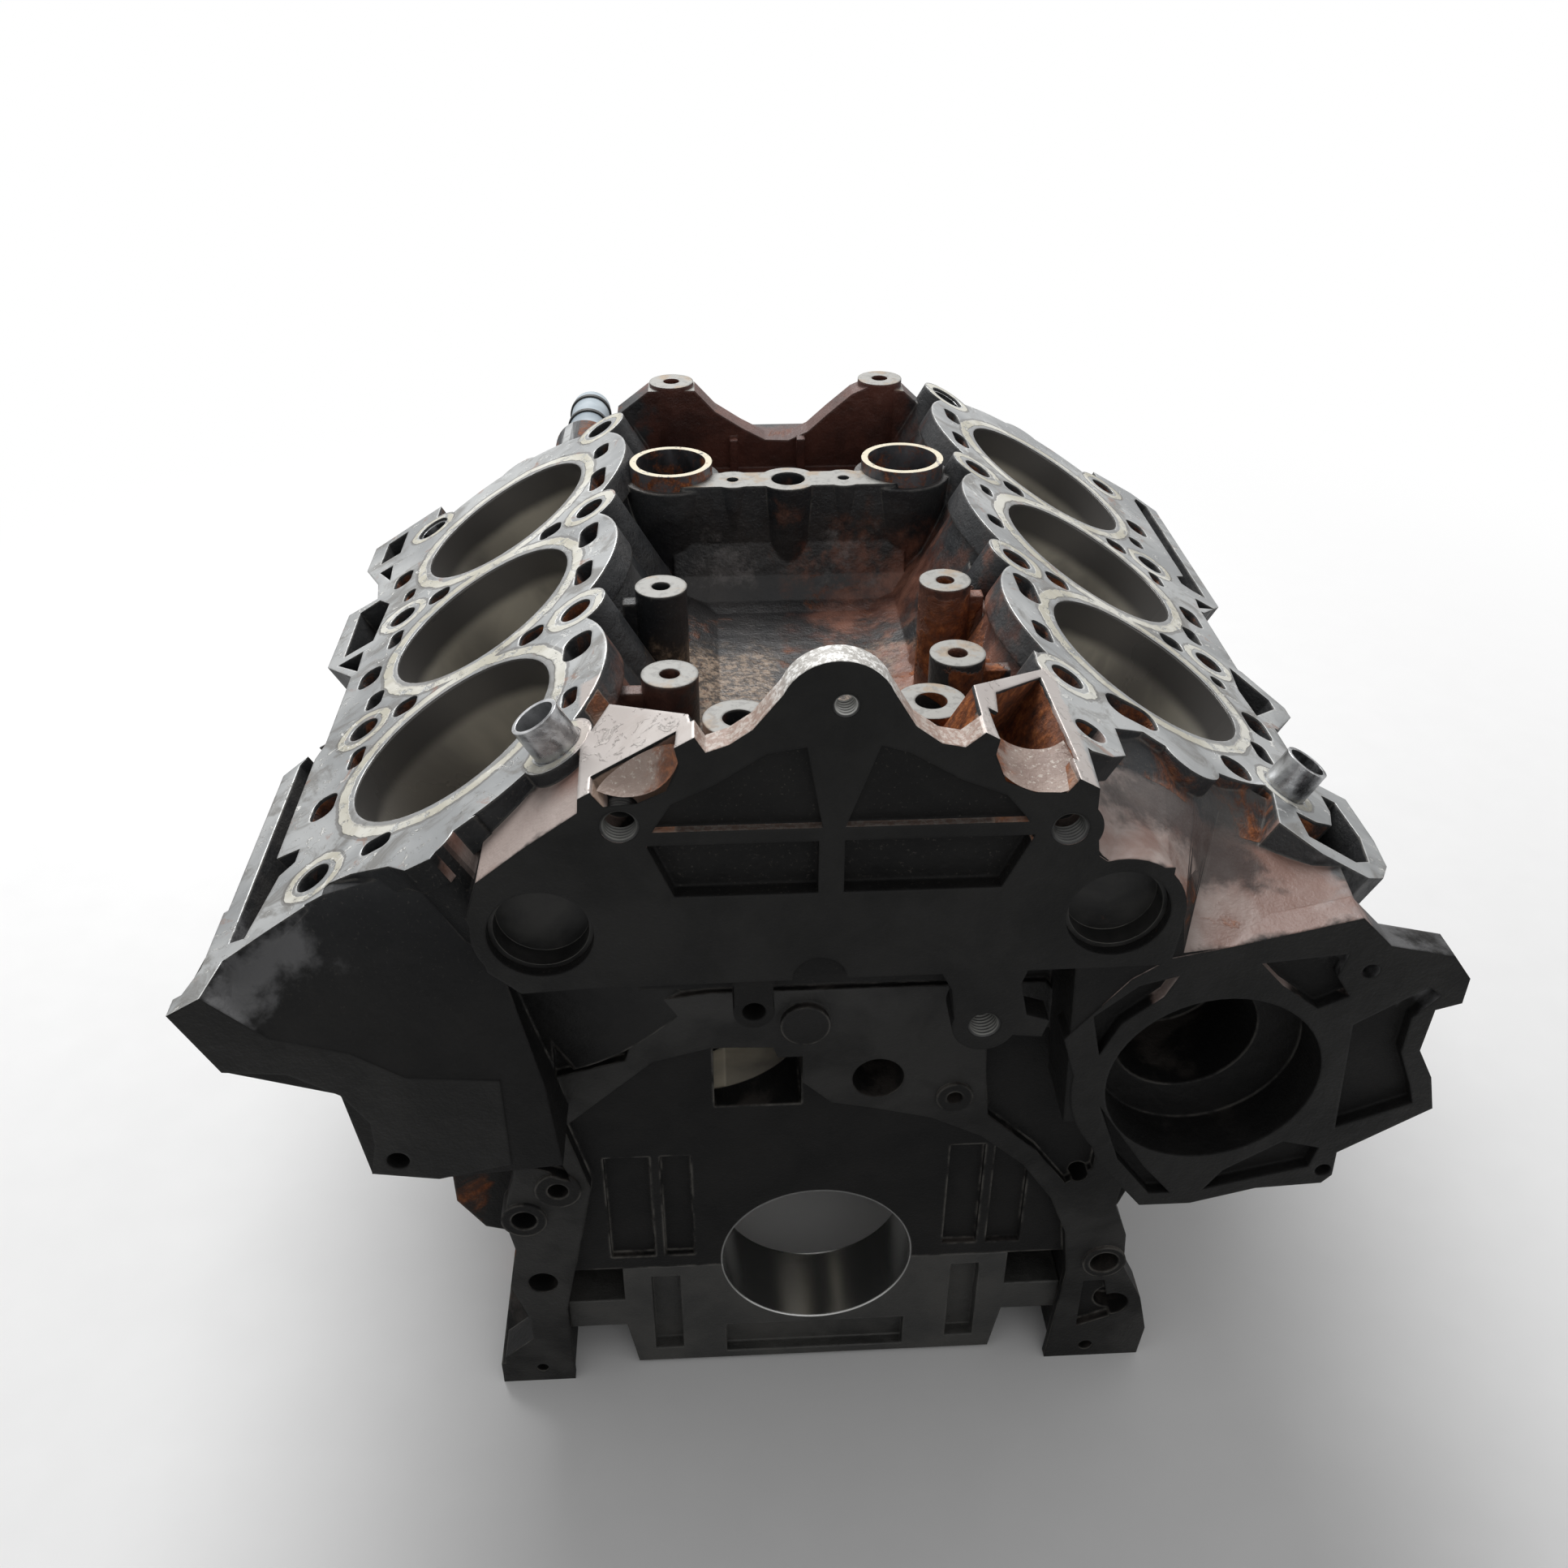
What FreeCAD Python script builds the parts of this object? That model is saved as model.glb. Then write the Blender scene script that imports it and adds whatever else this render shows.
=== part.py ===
import FreeCAD, Part

import math
import os

import Sketcher
from FreeCAD import Placement, Rotation, Vector

# Bare cylinder block of a six-cylinder vee engine, with the pieces that stay fitted to it.
# Frame: X to the right seen from the front, Y along the crankshaft towards the rear, Z up.
# The origin is on the crankshaft axis at the front face of the front main bearing.

SIZES = [
    ("bank_angle", 30.0, "tilt of each cylinder bank from upright"),
    ("deck_height", 259.1, "crankshaft axis to a head face, along the bank"),
    ("bore_diameter", 84.0, "cylinder bore"),
    ("bore_pitch", 96.0, "bore to bore, and main bearing to main bearing"),
    ("first_bore", 50.8, "front bore of the left bank behind the origin"),
    ("bank_stagger", 36.7, "right bank behind the left one"),
    ("jacket_radius", 62.0, "outside of the water jacket round each bore"),
    ("deck_radius", 66.0, "edge of the head face round each bore"),
    ("deck_flange", 11.0, "thickness of the head face flange"),
    ("jacket_depth", 112.0, "water jacket depth below the head face"),
    ("deck_outer", 70.0, "outer edge of the head face from the bore line"),
    ("curtain_outer", 89.0, "outside of the oil drain walls from the bore line"),
    ("curtain_depth", 62.0, "height of the oil drain walls"),
    ("head_bolt_diameter", 13.2, "threaded head bolt hole"),
    ("head_bolt_depth", 75.0, "depth of the head bolt holes"),
    ("head_bolt_offset", 49.5, "head bolt rows from the bore line"),
    ("main_diameter", 77.8, "main bearing bore"),
    ("bulkhead_thickness", 24.0, "inner main bearing walls"),
    ("front_bulkhead", 33.0, "front main bearing wall"),
    ("main_centre", 21.15, "nominal centre of the front main bearing"),
    ("crankcase_radius", 104.0, "inside of the crankcase"),
    ("crankcase_wall", 14.0, "thickness of the crankcase skirt"),
    ("pan_drop", 66.0, "crankshaft axis down to the sump face"),
    ("pan_flange", 12.0, "thickness of the sump flange"),
    ("pan_width", 134.0, "half width of the sump flange"),
    ("front_face", 36.0, "timing face forward of the origin"),
    ("rail_face", 6.0, "front oil seal face forward of the origin"),
    ("front_wall", 10.0, "thickness of the upright front wall"),
    ("foot_drop", 42.4, "lower edge of the timing chest below the bore line height"),
    ("hump_radius", 17.5, "round top of the front wall"),
    ("hump_rise", 57.1, "centre of the round top above the bore line height"),
    ("rear_face", 352.0, "gearbox face behind the origin"),
    ("rear_flange", 14.0, "thickness of the gearbox flange"),
    ("bell_radius", 168.0, "outside of the gearbox flange"),
    ("valley_depth", 24.4, "valley floor below the bore line height"),
    ("valley_half", 50.0, "half width of the valley floor"),
    ("pad_rise", 25.6, "machined valley pads above the bore line height"),
    ("bridge_place", 222.0, "cross bridge of the valley behind the origin"),
    ("cap_split", 3.0, "main cap joint below the crankshaft axis"),
    ("cap_half", 80.0, "half width of a main cap"),
    ("cap_gap", 2.0, "main caps above the sump face"),
    ("lug_centre", 31.0, "cap side bolts below the crankshaft axis"),
    ("lug_height", 16.0, "height of the cap side lugs"),
    ("cap_bolt_spread", 50.0, "main cap bolts from the crankshaft axis"),
    ("cap_bolt_diameter", 12.0, "main cap bolt"),
    ("cap_bolt_reach", 42.0, "main cap bolt in the casting"),
    ("side_bolt_diameter", 8.0, "cap side bolt"),
    ("plug_radius", 17.0, "front core plugs"),
    ("side_plug_radius", 18.0, "side and rear core plugs"),
    ("plug_depth", 9.0, "height of a core plug cup"),
    ("plug_wall", 1.6, "sheet of a core plug cup"),
    ("pump_radius", 38.0, "water pump bore"),
    ("dowel_radius", 8.5, "outside of the tall head dowels"),
    ("dowel_wall", 1.5, "wall of the tall head dowels"),
    ("dowel_height", 13.0, "tall head dowels above the head face"),
    ("ring_radius", 18.5, "outside of the valley sleeves"),
    ("ring_seat", 13.0, "depth of the valley sleeves in their towers"),
    ("fit_clearance", 0.1, "radial clearance of seated pieces"),
]


class Size:
    """A number that remembers how it is worked out from the cells of the sheet."""

    def __init__(self, value, text):
        self.value = value
        self.text = text

    def __add__(self, other):
        other = as_size(other)
        return Size(self.value + other.value, f"({self.text} + {other.text})")

    def __sub__(self, other):
        other = as_size(other)
        return Size(self.value - other.value, f"({self.text} - {other.text})")

    def __mul__(self, other):
        other = as_size(other)
        return Size(self.value * other.value, f"({self.text} * {other.text})")

    def __truediv__(self, other):
        other = as_size(other)
        return Size(self.value / other.value, f"({self.text} / {other.text})")

    def __neg__(self):
        return Size(-self.value, f"(-1 * {self.text})")

    def __radd__(self, other):
        return as_size(other) + self

    def __rsub__(self, other):
        return as_size(other) - self

    def __rmul__(self, other):
        return as_size(other) * self


def as_size(item):
    if isinstance(item, Size):
        return item
    return Size(float(item), f"({item:.4f})")


def cosine(angle):
    return Size(math.cos(math.radians(angle.value)), f"cos({angle.text})")


def sine(angle):
    return Size(math.sin(math.radians(angle.value)), f"sin({angle.text})")


document = FreeCAD.newDocument("CylinderBlock")
sheet = document.addObject("Spreadsheet::Sheet", "Sizes")
for row, (alias, value, note) in enumerate(SIZES, start=1):
    sheet.set(f"A{row}", alias)
    sheet.set(f"B{row}", str(value))
    sheet.set(f"C{row}", note)
    sheet.setAlias(f"B{row}", alias)
document.recompute()


def cell(alias):
    return Size(float(sheet.get(alias)), f"Sizes.{alias}")


AXIS_TURNS = {
    "x": Rotation(Vector(0, 1, 0), 90),
    "y": Rotation(Vector(1, 0, 0), -90),
    "z": Rotation(),
}


def bind(item, name, size):
    item.setExpression(name, as_size(size).text)


def place(item, spot, turn=None):
    if turn is not None:
        item.Placement = Placement(Vector(), turn)
    for letter, size in zip("xyz", spot):
        bind(item, f"Placement.Base.{letter}", size)
    return item


def block_box(name, low, high):
    """A box between two corners."""
    item = document.addObject("Part::Box", name)
    for side, a, b in zip(("Length", "Width", "Height"), low, high):
        bind(item, side, as_size(b) - as_size(a))
    return place(item, low)


def rod(name, axis, radius, spot, length):
    """A cylinder that starts at spot and runs along a positive axis."""
    item = document.addObject("Part::Cylinder", name)
    bind(item, "Radius", radius)
    bind(item, "Height", length)
    return place(item, spot, AXIS_TURNS[axis])


def outline(name, corners):
    """A closed sketch whose corners are all bound to the sheet."""
    sketch = document.addObject("Sketcher::SketchObject", name)
    corners = [(as_size(a), as_size(b)) for a, b in corners]
    count = len(corners)
    flat = [Vector(a.value, b.value, 0) for a, b in corners]
    for n in range(count):
        sketch.addGeometry(Part.LineSegment(flat[n], flat[(n + 1) % count]), False)
    for n in range(count):
        sketch.addConstraint(Sketcher.Constraint("Coincident", n, 2, (n + 1) % count, 1))
    for n, corner in enumerate(corners):
        for kind, size in zip(("DistanceX", "DistanceY"), corner):
            index = sketch.addConstraint(Sketcher.Constraint(kind, -1, 1, n, 1, size.value))
            title = f"{kind}_{n}"
            sketch.renameConstraint(index, title)
            bind(sketch, f"Constraints.{title}", size)
    return sketch


PLANES = {
    "y": (Rotation(Vector(1, 0, 0), 90), Vector(0, 1, 0)),
    "x": (Rotation(Vector(1, 1, 1), 120), Vector(1, 0, 0)),
    "z": (Rotation(), Vector(0, 0, 1)),
}


def slab(name, axis, corners, start, end, rounding=None):
    """An outline drawn across an axis and carried along it from start to end."""
    turn, way = PLANES[axis]
    sketch = outline(name + "_outline", corners)
    spots = {"x": (start, 0, 0), "y": (0, start, 0), "z": (0, 0, start)}
    place(sketch, spots[axis], turn)
    base = sketch
    if rounding is not None:
        base = document.addObject("Part::Offset2D", name + "_round")
        base.Source = sketch
        base.Join = 0
        bind(base, "Value", rounding)
    item = document.addObject("Part::Extrusion", name)
    item.Base = base
    item.DirMode = "Custom"
    item.Dir = way
    item.Solid = True
    bind(item, "LengthFwd", as_size(end) - as_size(start))
    return item


def fuse(name, items):
    item = document.addObject("Part::MultiFuse", name)
    item.Shapes = items
    return item


def cut(name, base, tool):
    item = document.addObject("Part::Cut", name)
    item.Base = base
    item.Tool = tool
    return item


def together(name, items):
    item = document.addObject("Part::Compound", name)
    item.Links = items
    return item


def tilt(item, side):
    """Lean a shape drawn with Z up the bank onto the left (-1) or right (+1) bank."""
    item.Placement = Placement(Vector(), Rotation(Vector(0, 1, 0), side * bank_angle.value))
    bind(item, "Placement.Rotation.Angle", side * bank_angle)
    return item


bank_angle = cell("bank_angle")
deck_height = cell("deck_height")
bore_radius = cell("bore_diameter") / 2
bore_pitch = cell("bore_pitch")
jacket_radius = cell("jacket_radius")
deck_radius = cell("deck_radius")
deck_flange = cell("deck_flange")
jacket_depth = cell("jacket_depth")
deck_outer = cell("deck_outer")
curtain_outer = cell("curtain_outer")
curtain_depth = cell("curtain_depth")
bolt_radius = cell("head_bolt_diameter") / 2
bolt_depth = cell("head_bolt_depth")
bolt_offset = cell("head_bolt_offset")
main_radius = cell("main_diameter") / 2
bulkhead = cell("bulkhead_thickness")
front_bulkhead = cell("front_bulkhead")
main_centre = cell("main_centre")
crankcase_radius = cell("crankcase_radius")
crankcase_wall = cell("crankcase_wall")
pan_drop = cell("pan_drop")
pan_flange = cell("pan_flange")
pan_width = cell("pan_width")
front_face = cell("front_face")
rail_face = cell("rail_face")
front_wall = cell("front_wall")
hump_radius = cell("hump_radius")
rear_face = cell("rear_face")
rear_flange = cell("rear_flange")
bell_radius = cell("bell_radius")
valley_half = cell("valley_half")
bridge_place = cell("bridge_place")
cap_split = cell("cap_split")
cap_half = cell("cap_half")
cap_gap = cell("cap_gap")
lug_centre = cell("lug_centre")
lug_height = cell("lug_height")
cap_bolt_spread = cell("cap_bolt_spread")
cap_bolt_radius = cell("cap_bolt_diameter") / 2
cap_bolt_reach = cell("cap_bolt_reach")
side_bolt_radius = cell("side_bolt_diameter") / 2
plug_radius = cell("plug_radius")
side_plug_radius = cell("side_plug_radius")
plug_depth = cell("plug_depth")
plug_wall = cell("plug_wall")
pump_radius = cell("pump_radius")
dowel_radius = cell("dowel_radius")
dowel_wall = cell("dowel_wall")
dowel_height = cell("dowel_height")
ring_radius = cell("ring_radius")
ring_seat = cell("ring_seat")
fit_clearance = cell("fit_clearance")

slope = cosine(bank_angle)
rise = sine(bank_angle)
bore_line = deck_height * slope
front_foot = bore_line - cell("foot_drop")
hump_height = bore_line + cell("hump_rise")
valley_floor = bore_line - cell("valley_depth")
valley_pad = bore_line + cell("pad_rise")

BANKS = {"left": -1, "right": 1}
PAST = 2.0
FIRST_BORE = {"left": cell("first_bore"), "right": cell("first_bore") + cell("bank_stagger")}


def bore_place(bank, number):
    return FIRST_BORE[bank] + number * bore_pitch


def bolt_place(bank, number):
    """Head bolts stand midway between the bores and half a pitch beyond the end ones."""
    return FIRST_BORE[bank] + (number - 0.5) * bore_pitch


# ---------------------------------------------------------------- cylinder banks


def bank_body(bank, side):
    pieces = []
    foot = deck_height - jacket_depth
    column_depth = bolt_depth + bolt_radius
    front = FIRST_BORE[bank] - jacket_radius
    rear = bore_place(bank, 2) + jacket_radius
    for n in range(3):
        spot = (0, bore_place(bank, n), foot)
        pieces.append(rod(f"{bank}_jacket_{n}", "z", jacket_radius, spot, jacket_depth))
        spot = (0, bore_place(bank, n), deck_height - deck_flange)
        pieces.append(rod(f"{bank}_deck_{n}", "z", deck_radius, spot, deck_flange))
    for n in range(4):
        for edge in (-1, 1):
            spot = (edge * bolt_offset, bolt_place(bank, n), deck_height - column_depth)
            column = rod(f"{bank}_column_{n}_{edge + 1}", "z", 2 * bolt_radius, spot, column_depth)
            pieces.append(column)
    pieces.append(
        wall_box(
            f"{bank}_core",
            side,
            (-bolt_offset - 3, bolt_offset + 9),
            (bolt_place(bank, 0), bolt_place(bank, 3)),
            (crankcase_radius - 44, deck_height),
        )
    )
    lobe_foot = deck_height - bolt_depth / 2
    pieces.append(rod(f"{bank}_front_lobe", "z", 12, (0, front - 1, lobe_foot), bolt_depth / 2))
    pieces.append(rod(f"{bank}_rear_lobe", "z", 12, (0, rear - 4, foot), jacket_depth))
    pieces += deck_edges(bank, side)
    return tilt(fuse(f"{bank}_bank", pieces), side)


def outward(side, inner, outer):
    """Across-bank span, from the bore line outwards, in the bank's own X direction."""
    return (inner, outer) if side > 0 else (-outer, -inner)


def wall_box(name, side, across, along, up):
    low, high = outward(side, as_size(across[0]), as_size(across[1]))
    return block_box(name, (low, along[0], up[0]), (high, along[1], up[1]))


def bank_slab(name, bank, side, corners, low, high):
    """An outline on the head face, given across and along from the first bore, carried up the bank."""
    first = FIRST_BORE[bank]
    spots = [(side * as_size(across), first + along) for across, along in corners]
    return slab(name, "z", spots, low, high)


DRAIN_WALLS = {
    "left": [
        [(49, -64), (64, -67), (80, -71), (89, -62), (89, 47), (72, 55), (49, 55)],
        [(49, 105), (70, 109), (89, 135), (89, 186), (49, 186)],
        [(49, 185), (72, 185), (76, 205), (89, 234), (89, 261), (49, 267)],
    ],
    "right": [
        [(33, -81), (49, -89), (70, -90), (80, -84), (88, -72), (91, -54), (90, -27), (49, -27)],
        [(49, 8), (72, 11), (89, 34), (89, 42), (72, 59), (49, 61)],
        [(49, 112), (72, 115), (89, 137), (89, 252), (74, 260), (49, 260)],
    ],
}
DECK_TONGUES = {
    "left": [
        (0, -62),
        (-20, -64),
        (-10, -67),
        (-4, -76),
        (6, -75),
        (14, -67),
        (31, -59),
        (42, -57),
        (52, -64),
        (65, -67),
        (81, -71),
        (85.5, -86.8),
        (99.3, -86.8),
        (87, -60),
        (70, -20),
        (0, -20),
    ],
    "right": [
        (-62, -96),
        (-53, -99),
        (-44, -96),
        (-37, -90),
        (-36, -72),
        (-20, -62),
        (-30, -40),
        (-62, -40),
    ],
}


def deck_edges(bank, side):
    """Outer strip of the head face, its front tongue, and the oil drain walls that hang from it."""
    first = FIRST_BORE[bank]
    strip = wall_box(
        f"{bank}_strip",
        side,
        (bolt_offset, deck_outer),
        (first - 60, first + 2 * bore_pitch + 64),
        (deck_height - deck_flange * 2, deck_height),
    )
    tongue = bank_slab(
        f"{bank}_tongue",
        bank,
        side,
        DECK_TONGUES[bank],
        deck_height - deck_flange,
        deck_height,
    )
    pieces = [strip, tongue]
    for n, corners in enumerate(DRAIN_WALLS[bank]):
        low = deck_height - curtain_depth
        wall = bank_slab(f"{bank}_drain_wall_{n}", bank, side, corners, low, deck_height)
        pieces.append(wall)
    return pieces


left_bank = bank_body("left", -1)
right_bank = bank_body("right", 1)

# ---------------------------------------------------------------- crankcase

skirt = crankcase_radius + crankcase_wall
crankcase_parts = [
    rod("crankcase_arch", "y", skirt, (0, -rail_face, 0), rear_face + rail_face),
    block_box("crankcase_skirt", (-skirt, -rail_face, -pan_drop), (skirt, rear_face, 0)),
    block_box(
        "sump_flange",
        (-pan_width, -rail_face, -pan_drop),
        (pan_width, rear_face, -pan_drop + pan_flange),
    ),
    slab(
        "gearbox_flange",
        "y",
        [
            (-bell_radius, -40),
            (-pan_width, -pan_drop),
            (pan_width, -pan_drop),
            (bell_radius, -40),
            (bell_radius, 60),
            (bell_radius * 0.82, 150),
            (76, 228),
            (-76, 228),
            (bell_radius * -0.82, 150),
            (-bell_radius, 60),
        ],
        rear_face - rear_flange,
        rear_face,
    ),
    slab(
        "rear_housing",
        "y",
        [
            (-skirt, 0),
            (skirt, 0),
            (skirt + 16, 90),
            (78, 215),
            (-78, 215),
            (-skirt - 16, 90),
        ],
        bore_place("left", 2) + 40,
        rear_face,
    ),
    slab(
        "valley_core",
        "y",
        [(-valley_half, valley_floor), (-20, 80), (20, 80), (valley_half, valley_floor)],
        8,
        rear_face - 2,
    ),
]
crankcase = fuse("crankcase", crankcase_parts)

# ---------------------------------------------------------------- timing end


def on_deck(side, across):
    """A point of a head face, seen along the crankshaft, by its distance from the bore line."""
    return (side * (deck_height * rise + across * slope), bore_line - across * rise)


def front_rod(name, radius, across, up, start, end):
    """A boss along the crankshaft, from start to end."""
    return rod(name, "y", radius, (across, start, up), as_size(end) - as_size(start))


LIFT_HOLES = {"left": (-65.7, bore_line + 19.5), "right": (72.7, bore_line + 13.7)}
CORE_PLUGS = {"left": (-93, bore_line - 21.4), "right": (92, bore_line - 20.4)}
PIPE_SPOT = (-97, bore_line + 1.6)
PUMP_SPOT = (135, 128)
EAR_CORNERS = {
    "left": [(-101, -36), (-99, -21), (-69, 12), (-59, -6), (-60, -36)],
    "right": [(-99, -36), (-98, -7), (-62, 34), (-52, 20), (-57, -36)],
}
EAR_DEPTH = 34
wall_back = -front_face + front_wall

front_parts = [
    slab(
        "front_wall_panel",
        "y",
        [
            on_deck(-1, as_size(-60)),
            on_deck(-1, as_size(-101)),
            (-39, hump_height - 12),
            (-32, hump_height - 9.5),
            (-25, hump_height - 4.5),
            (-16, hump_height + 7),
            (16, hump_height + 7),
            (23, hump_height - 4.8),
            (31, hump_height - 11),
            (38, hump_height - 12.5),
            on_deck(1, as_size(-99)),
            on_deck(1, as_size(-57)),
            (80.5, bore_line + 20),
            (83, bore_line + 3),
            (92, bore_line - 4),
            (108, bore_line - 12),
            (114, bore_line - 25),
            (112, front_foot),
            (-102, front_foot - 2),
            (-111, bore_line - 36),
            (-115.5, bore_line - 14),
            (-111, bore_line),
            (-96, bore_line + 12),
            (-78, bore_line + 25),
        ],
        -front_face,
        wall_back,
    ),
    front_rod("front_hump", hump_radius, 0, hump_height, -front_face, wall_back),
    slab(
        "timing_chest",
        "x",
        [
            (-front_face, front_foot),
            (-front_face, front_foot + 40),
            (12, valley_floor),
            (20, 110),
            (-rail_face + 8, 110),
            (-rail_face + 2, front_foot - 26),
            (-rail_face - 12, front_foot - 8),
        ],
        -100,
        108,
    ),
    slab(
        "core_shoulder",
        "y",
        [
            (-72, bore_line + 30),
            (-78, bore_line + 25),
            (-96, bore_line + 12),
            (-111, bore_line),
            (-115.5, bore_line - 14),
            (-111, bore_line - 36),
            (-101, front_foot - 3),
            (-50, front_foot),
            (-50, bore_line + 10),
        ],
        -front_face,
        2,
    ),
    slab(
        "front_plate",
        "y",
        [
            (-pan_width + 2, -pan_drop),
            (-pan_width + 2, -50),
            (-119, -38),
            (-119, -25),
            (-125, -5),
            (-121, 18),
            (-124, 37),
            (-118, 60),
            (-114, 104),
            (-100, 142),
            (-40, 150),
            (80, 150),
            (116, 96),
            (123, 60),
            (120, 30),
            (126.5, 12),
            (128, -8),
            (138, -29),
            (142.6, -49),
            (141, -pan_drop),
        ],
        -rail_face,
        8,
    ),
    front_rod("ring_boss", 9, -6.4, 135.5, -rail_face - 3, 14),
    front_rod("oil_boss", 14, 21.2, 105.6, -rail_face, 6),
    front_rod("slot_boss", 7, -25.5, front_foot - 18, -front_face + 4, 0),
    block_box(
        "slot_web", (-32, -front_face + 4, front_foot - 18), (-19, -front_face + 14, front_foot + 4)
    ),
    front_rod("hanging_boss", 11, 52, front_foot - 24, -front_face, -front_face + 14),
    slab(
        "hanging_ear",
        "y",
        [
            (34, front_foot + 4),
            (40, front_foot - 8),
            (42, front_foot - 24),
            (63, front_foot - 29),
            (72, front_foot - 30),
            (74, front_foot - 23),
            (66, front_foot - 20),
            (63, front_foot - 6),
            (66, front_foot + 4),
        ],
        -front_face,
        -front_face + 10,
    ),
]
pipe_rear = bore_place("left", 2) + jacket_radius + 14
front_parts.append(front_rod("pipe_boss", 15, *PIPE_SPOT, pipe_rear - 36, pipe_rear + 8))
for label, (across, up) in CORE_PLUGS.items():
    front_parts.append(
        front_rod(f"core_boss_{label}", plug_radius + 5, across, up, -front_face, 4)
    )
for label, (across, up) in LIFT_HOLES.items():
    front_parts.append(
        front_rod(f"lift_boss_{label}", 10.5, across, up, -front_face, -front_face + 18)
    )
for n, (across, up, radius) in enumerate(((-101.5, 53, 9), (-116, 37, 9), (119, -3, 9), (50.3, 95.3, 7))):
    front_parts.append(front_rod(f"rail_boss_{n}", radius, across, up, -rail_face - 1.5, 4))

for bank, side in BANKS.items():
    corners = [(side * across, along) for across, along in EAR_CORNERS[bank]]
    ear_block = slab(f"{bank}_ear_block", "z", corners, deck_height - EAR_DEPTH, deck_height)
    front_parts.append(tilt(together(f"{bank}_ear", [ear_block]), side))


def wedge(name, front_corners, rear_corners, start, end):
    """A casting wall lofted between two outlines across the crankshaft."""
    outlines = []
    for tag, corners, along in (("front", front_corners, start), ("rear", rear_corners, end)):
        sketch = outline(f"{name}_{tag}", corners)
        outlines.append(place(sketch, (0, along, 0), PLANES["y"][0]))
    loft = document.addObject("Part::Loft", name)
    loft.Sections = outlines
    loft.Solid = True
    loft.Ruled = True
    return loft


# Left flank: a thin flange down to its ear, and the slope behind it up to the head face.
flange_edge = [(-185, bore_line - 61), (-160, bore_line - 69), (-143, bore_line - 81)]
flange_foot = [(-138, 94), (-161, 98), (-158, 112), (-158, 123), (-166, 136.5), (-182, 147), (-203, 149)]
front_parts.append(
    slab(
        "left_flange",
        "y",
        [on_deck(-1, as_size(85.5)), on_deck(-1, as_size(99.3))]
        + list(reversed(flange_foot))
        + [(-112, 100), (-112, bore_line - 84)]
        + list(reversed(flange_edge)),
        -front_face,
        wall_back - 2,
    )
)
FLANK_REAR = -12
flank_top = [
    on_deck(-1, as_size(91)),
    on_deck(-1, as_size(68)),
    on_deck(-1, as_size(42)),
    (-146, bore_line - 15),
    (-116, bore_line - 26),
]
flank_foot = [(-94, 98), (-124, 80), (-150, 92), (-166, 130), (-200, 146)]
front_parts.append(
    wedge(
        "left_flank",
        [on_deck(-1, as_size(95))]
        + flange_edge
        + [(-97, bore_line - 88), (-94, 98), (-138, 94), (-161, 98), (-166, 136.5), (-203, 149)],
        flank_top + flank_foot,
        -front_face + 0.5,
        FLANK_REAR,
    )
)
front_parts.append(slab("left_flank_core", "y", flank_top + flank_foot, FLANK_REAR, 12))

# Right flank: water pump flange, its housing and the shoulder up to the head face.
pump_outline = [
    (100, 176),
    (112, bore_line - 40),
    (135, bore_line - 35),
    on_deck(1, as_size(51)),
    (185.6, 186.7),
    (208.4, 181.2),
    (216.2, 171.2),
    (216.2, 160.2),
    (207.5, 157.5),
    (206.6, 138.8),
    (213.9, 125.5),
    (218.1, 110),
    (187.4, 89.1),
    (188, 77.2),
    (184.7, 73.1),
    (160, 71.7),
    (136.3, 65),
    (117.2, 65),
    (98, 90),
    (80, 150),
]
front_parts.append(slab("pump_flange", "y", pump_outline, -front_face, -front_face + 12))
front_parts.append(front_rod("pump_housing", pump_radius + 12, *PUMP_SPOT, -front_face, 42))
front_parts.append(
    wedge(
        "right_shoulder",
        [
            (78, bore_line + 12),
            (84, bore_line + 3),
            (92, bore_line - 4),
            (108, bore_line - 12),
            (114, bore_line - 24),
            (116, bore_line - 38),
            (136, bore_line - 35.5),
            (174, bore_line - 27),
            (176, 110),
            (84, 110),
        ],
        [
            (78, bore_line + 28),
            (92, bore_line + 20),
            (106, bore_line + 12),
            (120, bore_line + 4),
            (134, bore_line - 4),
            (146, bore_line - 12),
            (160, bore_line - 21),
            (184, bore_line - 33),
            (170, 110),
            (84, 110),
        ],
        -front_face + 0.5,
        FIRST_BORE["right"] - jacket_radius + 4,
    )
)

timing_end = fuse("timing_end", front_parts)

# ---------------------------------------------------------------- valley

ROOT = 30
tower_place = bridge_place + 10
VALLEY_BOSSES = ((-51, 47), (51, 57), (-55, 116), (55, 116))
VALLEY_PADS = ((-28, 16), (37, 24))
TOWERS = (-52, 52)
REAR_BOSSES = (-52.5, 52.5)
valley_root = valley_floor - ROOT
pad_length = valley_pad - valley_root

valley_parts = []
for n, (across, along) in enumerate(VALLEY_BOSSES):
    valley_parts.append(rod(f"valley_boss_{n}", "z", 10, (across, along, valley_root), pad_length))
    low = (across - 3 if across < 0 else across, along - 3, valley_root)
    high = (across if across < 0 else across + 3, along + 3, valley_pad - 6)
    web_low = (-70, low[1], low[2]) if across < 0 else low
    web_high = high if across < 0 else (70, high[1], high[2])
    valley_parts.append(block_box(f"boss_web_{n}", web_low, web_high))
for n, (across, along) in enumerate(VALLEY_PADS):
    valley_parts.append(rod(f"valley_pad_{n}", "z", 12, (across, along, valley_root), pad_length))
for n, across in enumerate(TOWERS):
    spot = (across, tower_place, valley_root)
    valley_parts.append(rod(f"ring_tower_{n}", "z", ring_radius + 3, spot, pad_length - 2))
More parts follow.
